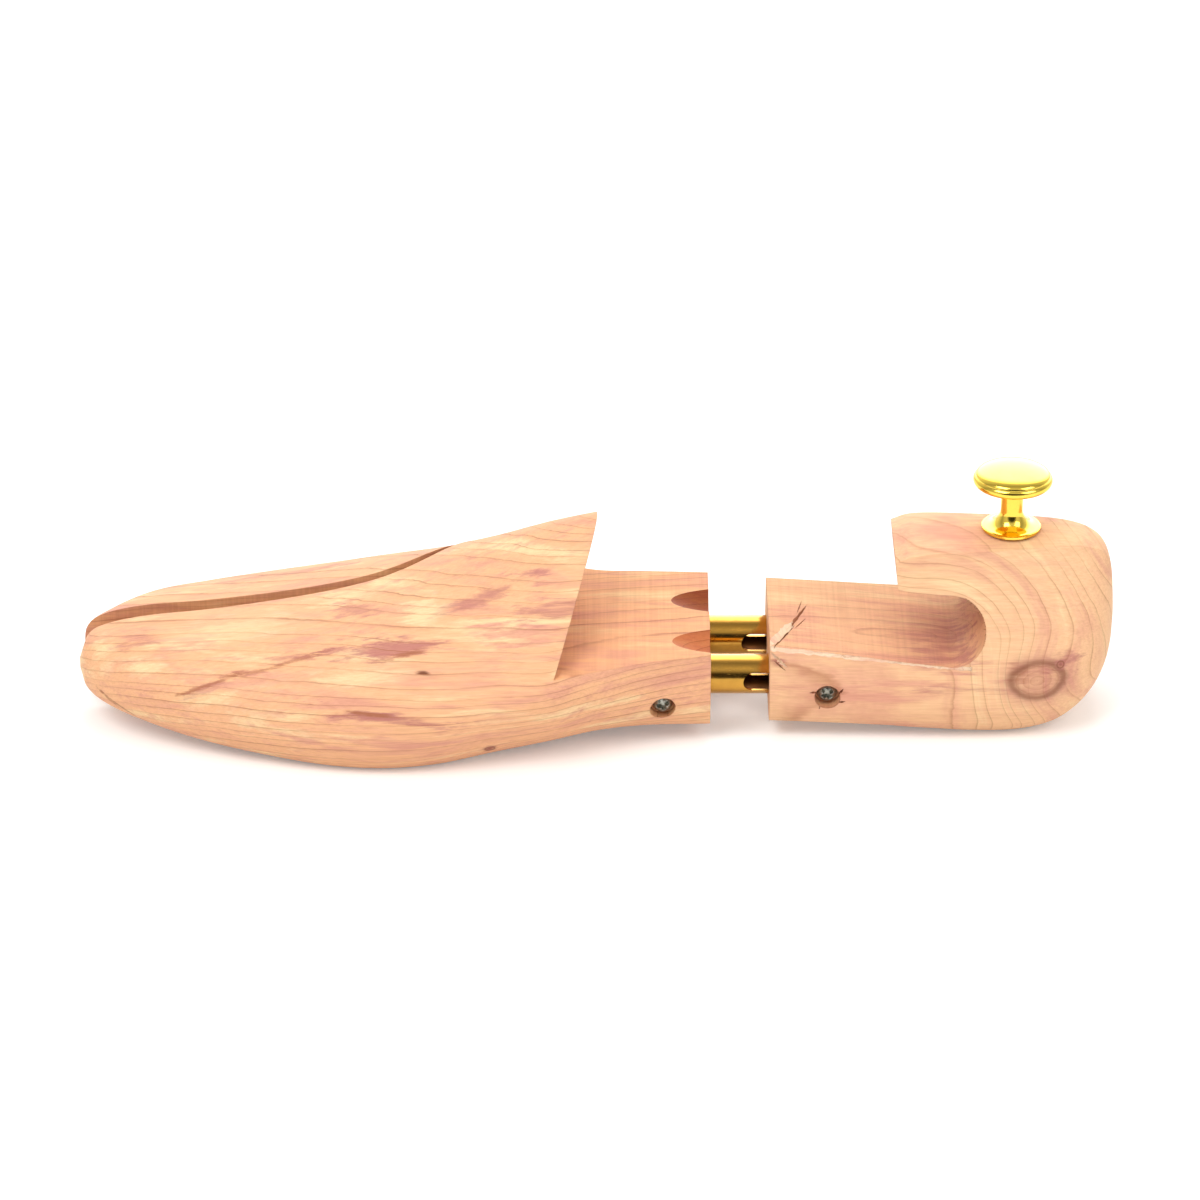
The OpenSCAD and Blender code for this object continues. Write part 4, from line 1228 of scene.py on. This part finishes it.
class SHOETREE_OT_screws(bpy.types.Operator):
    """Builds the two cross-recessed wood screws"""

    bl_idname = "shoetree.screws"
    bl_label = "Wood screws"

    def execute(self, context):
        head_r = sizes()["head_d"] / 2
        # Steel wood screws, zinc-plated: grey with a green-brown cast where the plating is old
        zinc = metal("zinc_plated_screw", colours()["steel"], 0.42, 0.5,
                     scratch=(0.6, 0.6, 0.6), bump=0.05)
        for name, node, body, turn in (
            ("forepart_wood_screw", "forepart_screw", "forepart", 20),
            ("heel_wood_screw", "heel_screw", "heel", 38),
        ):
            low, high = mm_of(node)
            head_top = low + (head_r, 0, head_r)
            screw = wood_screw(name, head_top, head_r, high[1] - low[1], turn, zinc)
            shown(smooth(screw, 40), body, "screw_steel", node)
        return {"FINISHED"}


def wood_screw(name, head_top, head_r, reach, turn, material):
    """A raised-head wood screw along +Y.

    The outline is a dome, a straight shank, a thread whose radius swings with the turn
    (r + d cos(2 pi h / pitch - a)) and a point. A cross recess sinks the dome by a depth
    that falls off towards the arms' sides and the rim.
    """
    shank_r, pitch, thread, threaded_from = 1.6, 1.3, 0.34, 22
    arm_w, arm_reach, recess = 0.28, 1.9, 1.5
    dome = np.linspace(0, 1, 26)
    head_a = np.stack([head_r * np.sin(dome * math.pi / 2),
                       0.75 * HEAD_H * (1 - np.cos(dome * math.pi / 2))], -1)
    head_b = np.array([(head_r, HEAD_H - 0.15), (head_r - 0.15, HEAD_H), (shank_r, HEAD_H)])
    h = np.linspace(HEAD_H + 0.1, reach - 5, 260)
    body = np.stack([np.full_like(h, shank_r), h], -1)
    tip = np.stack([shank_r * np.linspace(1, 0, 24), np.linspace(reach - 4.9, reach, 24)], -1)
    a = np.arange(72) / 72 * TURN
    r, h = np.concatenate([head_a, head_b, body, tip]).T[:, :, None] + 0 * a
    ridge = 0.5 + 0.5 * np.cos(TURN * h / pitch - a)
    cut = thread * (1 - ridge**3) * np.minimum(1, r / shank_r)
    r = np.where((h > threaded_from) & (r > 0.25), r - cut, r)
    px, pz = r * np.sin(a), r * np.cos(a)
    t = math.radians(turn)
    u, v = px * math.cos(t) + pz * math.sin(t), pz * math.cos(t) - px * math.sin(t)
    arm = np.maximum(*(np.clip(2.6 - np.abs(across) / arm_w, 0, 1)
                       * np.clip((arm_reach - np.abs(along)) / 0.6, 0, 1)
                       for across, along in ((u, v), (v, u))))
    h = h + np.where(h < HEAD_H - 0.2, recess * arm, 0)
    grid = np.stack([px, h, pz], -1) + head_top
    return merged(grid_object(name, grid, material))


def coil(name, start, axis, outer_d, wire_d, reach, curls, material):
    """A round wire wound about an axis, with one closed curl laid flat at each end.

    The path is (R cos a, R sin a, h(a)), where h runs slowly over the end curls and evenly
    between them; the wire is a circle carried along it.
    """
    radius = (outer_d - wire_d) / 2
    steps = 40 * curls
    a = np.linspace(0, TURN * curls, steps)
    even = np.clip((a / TURN - 0.75) / (curls - 1.5), 0, 1)
    ends = wire_d * (np.clip(a / TURN, 0, 0.75) + np.clip(a / TURN - curls + 0.75, 0, 0.75))
    h = wire_d / 2 + ends + even * (reach - wire_d * 2.5)
    path = np.stack([radius * np.cos(a), radius * np.sin(a), h], -1)
    ahead = np.gradient(path, axis=0)
    ahead /= np.linalg.norm(ahead, axis=1)[:, None]
    out = np.stack([np.cos(a), np.sin(a), 0 * a], -1)
    up = np.cross(ahead, out)
    k = np.arange(12) / 12 * TURN
    tube = (path[:, None] + wire_d / 2 * (np.cos(k)[None, :, None] * out[:, None]
            + np.sin(k)[None, :, None] * up[:, None]))
    order = {"x": (2, 0, 1), "y": (1, 2, 0)}[axis]
    grid = tube[..., order] + np.asarray(start, float)
    return grid_object(name, grid, material)


class SHOETREE_OT_springs(bpy.types.Operator):
    """Builds the toe spring and the two heel springs"""

    bl_idname = "shoetree.springs"
    bl_label = "Springs"

    def execute(self, context):
        # Drawn spring wire: bright grey, with drawing lines too fine to show
        steel = metal("drawn_spring_wire", colours()["steel"], 0.28, 0.3,
                      scratch=(0.4, 0.4, 0.4))
        low, high = TOE_SPRING_LOW, TOE_SPRING_HIGH
        toe = coil("toe_coil_spring", ((low[0] + high[0]) / 2, low[1], (low[2] + high[2]) / 2),
                   "y", TOE_SPRING_D, 0.9, high[1] - low[1], 7, steel)
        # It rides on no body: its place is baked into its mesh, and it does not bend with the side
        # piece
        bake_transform(smooth(toe, 60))
        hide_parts("toe_spring")
        for name, node in (("near_coil_spring", "near_tube_spring"),
                           ("far_coil_spring", "far_tube_spring")):
            low, high = mm_of(node)
            spring = coil(name, (low[0], (low[1] + high[1]) / 2, (low[2] + high[2]) / 2), "x",
                          10, 1, high[0] - low[0], 11, steel)
            shown(smooth(spring, 60), "heel", "spring_steel", node)
            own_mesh(spring)
        return {"FINISHED"}


def knob_profile(cap_r):
    """Half section of the knob: the stud's bore, the foot, the flared neck, the bead, the dome."""
    foot_r, neck_r, rim_r, dome_h, bore_r, bore_h = 8.5, 3.2, 1.5, 2.6, 2.02, 9.02
    height = KNOB_HIGH[2] - KNOB_LOW[2]
    rim_z = height - dome_h - rim_r
    q = np.linspace(0, math.pi / 2, 22)
    foot = np.stack([neck_r + (foot_r - 0.4 - neck_r) * (1 - np.cos(q[::-1])),
                     6.1 - 4.9 * np.sin(q[::-1])], -1)
    flare = np.stack([neck_r + (cap_r - rim_r - neck_r) * (1 - np.cos(q)),
                      rim_z - 4 + (4 - rim_r) * np.sin(q)], -1)
    b = np.radians(np.linspace(-60, 60, 17))
    rim = np.stack([cap_r - rim_r + rim_r * np.cos(b), rim_z + rim_r * np.sin(b)], -1)
    top_z = rim[-1, 1]
    dome = np.stack([(cap_r - rim_r / 2) * np.cos(q[1:]),
                     top_z + (height - top_z) * np.sin(q[1:])], -1)
    bore = [(0, bore_h), (bore_r, bore_h), (bore_r, 0)]
    base = [(foot_r - 0.3, 0), (foot_r, 0.3), (foot_r, 0.9)]
    return np.concatenate([bore, base, foot, flare, rim, dome])


class SHOETREE_OT_knob(bpy.types.Operator):
    """Builds the pull knob and finishes the pins"""

    bl_idname = "shoetree.knob"
    bl_label = "Knob and pins"

    def execute(self, context):
        # Zinc casting, turned and gold-plated: a mirror with a few soft stains
        polish = metal("polished_gold_plate", colours()["polish"], 0.12, 0.35,
                       scratch=(3, 3, 0.4), bump=0.01)
        knob = lathe("gold_knob", knob_profile(sizes()["knob_cap_d"] / 2),
                     (KNOB_X, MID_Y, KNOB_LOW[2]), polish, "z", 160)
        shown(smooth(knob, 42), "heel", "knob_brass", "knob")
        # Ground steel pin stock
        pin = metal("ground_pin_steel", colours()["steel"], 0.3, 0.3)
        for node in ("hinge_pin", "knob_stud"):
            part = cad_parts[node]
            part.data.materials.clear()
            part.data.materials.append(pin)
        return {"FINISHED"}


# Stage

CAMERA_AT = (1.1, -1330.5, 726.3)  # where the photograph's camera stood, from the tubes' middle
CAMERA_TILT = 62.5
CAMERA_LENS = 155.25
FLOOR_HALF = 3000
WHITE = (1, 1, 1, 1)


def paper_floor():
    """The pale floor."""
    # Matt paper: it keeps the shadow, and a little glow for the camera and the metals brings
    # its lit part up to white
    material, tree, shader = new_material("matt_paper_floor")
    rays = put(tree, "ShaderNodeLightPath").outputs
    seen = maths(tree, "MAXIMUM", rays["Is Camera Ray"], rays["Is Glossy Ray"])
    seen = maths(tree, "MAXIMUM", seen, rays["Is Transmission Ray"])
    wire(tree, shader, {"Base Color": colours()["floor"], "Roughness": 0.9,
         "Specular IOR Level": 0.1, "Emission Color": WHITE,
         "Emission Strength": maths(tree, "MULTIPLY", seen, 0.2)})
    h = FLOOR_HALF
    corners = [(-h, -h, 0), (h, -h, 0), (h, h, 0), (-h, h, 0)]
    mesh_object("paper_floor", corners, [(0, 1, 2, 3)], material)


def light_tent(scene):
    """The world: white to the camera, soft light to the wood, and a room for the metals."""
    scene.world = bpy.data.worlds.new("light_tent")
    scene.world.use_nodes = True
    tree = scene.world.node_tree
    tree.nodes.clear()
    rays = put(tree, "ShaderNodeLightPath").outputs
    seen = maths(tree, "MAXIMUM", rays["Is Camera Ray"], rays["Is Transmission Ray"])
    # The room is white ahead and overhead, with a lit panel beyond the table that the knob's
    # cap mirrors, and dark behind the camera
    heading = put(tree, "ShaderNodeTexCoord").outputs["Generated"]
    ahead = put(tree, "ShaderNodeSeparateXYZ", {0: heading}).outputs["Y"]
    room = ramp(tree, span(tree, ahead, (-1, 1), (0, 1)),
                [(0.0, 0.03), (0.06, 0.05), (0.15, 0.8), (0.3, 0.7), (0.5, 0.4), (0.8, 1.0)])
    toward = vectors(tree, "DOT_PRODUCT", heading, (0.1, 0.87, 0.49))
    panel = span(tree, toward, (0.72, 0.9), (1.0, 4.5))
    soft, mirror, white = (
        put(tree, "ShaderNodeBackground", {"Color": tone, "Strength": strength})
        for tone, strength in ((WHITE, 0.62), (room, panel), (WHITE, 1.0)))
    mix = put(tree, "ShaderNodeMixShader", {0: rays["Is Glossy Ray"], 1: soft, 2: mirror})
    mix = put(tree, "ShaderNodeMixShader", {0: seen, 1: mix, 2: white})
    put(tree, "ShaderNodeOutputWorld", {"Surface": mix})


def placed(scene, name, data, location):
    """A lamp or a camera at a place in metres."""
    obj = bpy.data.objects.new(name, data)
    scene.collection.objects.link(obj)
    obj.location = location
    return obj


def softboxes(scene):
    """Three square lamps that point at the middle of the floor."""
    for name, place, size, power in (
        ("key_softbox", (-0.7, -0.8, 1.5), 0.9, 15),
        ("fill_softbox", (1.0, -0.7, 1.1), 0.8, 6),
        ("top_softbox", (0.1, 0.5, 1.7), 0.9, 9),
    ):
        lamp = bpy.data.lights.new(name, "AREA")
        lamp.size, lamp.energy = size, power
        obj = placed(scene, name, lamp, place)
        # Seen in the tubes, the top lamp would wash out their dark band
        obj.visible_glossy = name != "top_softbox"
        obj.rotation_euler = (-obj.location).to_track_quat("-Z", "Y").to_euler()


def photo_camera(scene):
    """The camera, where the photograph's stood."""
    camera = bpy.data.cameras.new("photo_camera")
    camera.lens = CAMERA_LENS
    camera.sensor_width = 36
    camera.clip_end = 20
    x, y, z = CAMERA_AT
    scene.camera = placed(scene, "photo_camera", camera, (x * MM, (y + MID_Y) * MM, z * MM))
    scene.camera.rotation_euler = (math.radians(CAMERA_TILT), 0, 0)


class SHOETREE_OT_stage(bpy.types.Operator):
    """Sets the pale floor, the soft lamps and the camera"""

    bl_idname = "shoetree.stage"
    bl_label = "Floor, lamps and camera"

    def execute(self, context):
        context.scene.view_settings.view_transform = "Standard"
        paper_floor()
        light_tent(context.scene)
        softboxes(context.scene)
        photo_camera(context.scene)
        return {"FINISHED"}


class SHOETREE_PT_panel(bpy.types.Panel):
    """Sizes, colours and the steps that build the shoe tree"""

    bl_idname = "SHOETREE_PT_panel"
    bl_label = "Shoe tree"
    bl_space_type = "VIEW_3D"
    bl_region_type = "UI"
    bl_category = "Shoe tree"

    def draw(self, context):
        for group, owner in ((context.scene.shoe_tree_sizes, ShoeTreeSizes),
                             (context.scene.shoe_tree_colours, ShoeTreeColours)):
            box = self.layout.box()
            for name in owner.__annotations__:
                box.prop(group, name)
        for step in STEPS:
            self.layout.operator(step.bl_idname)


STEPS = (
    SHOETREE_OT_forepart,
    SHOETREE_OT_heel,
    SHOETREE_OT_tubes,
    SHOETREE_OT_screws,
    SHOETREE_OT_springs,
    SHOETREE_OT_knob,
    SHOETREE_OT_stage,
)
CLASSES = (ShoeTreeSizes, ShoeTreeColours, *STEPS, SHOETREE_PT_panel)


def register():
    for item in CLASSES:
        bpy.utils.register_class(item)
    bpy.types.Scene.shoe_tree_sizes = bpy.props.PointerProperty(type=ShoeTreeSizes)
    bpy.types.Scene.shoe_tree_colours = bpy.props.PointerProperty(type=ShoeTreeColours)


def unregister():
    del bpy.types.Scene.shoe_tree_colours
    del bpy.types.Scene.shoe_tree_sizes
    for item in reversed(CLASSES):
        bpy.utils.unregister_class(item)


def main():
    register()
    for step in STEPS:
        group, name = step.bl_idname.split(".")
        getattr(getattr(bpy.ops, group), name)()


if __name__ == "__main__":
    main()
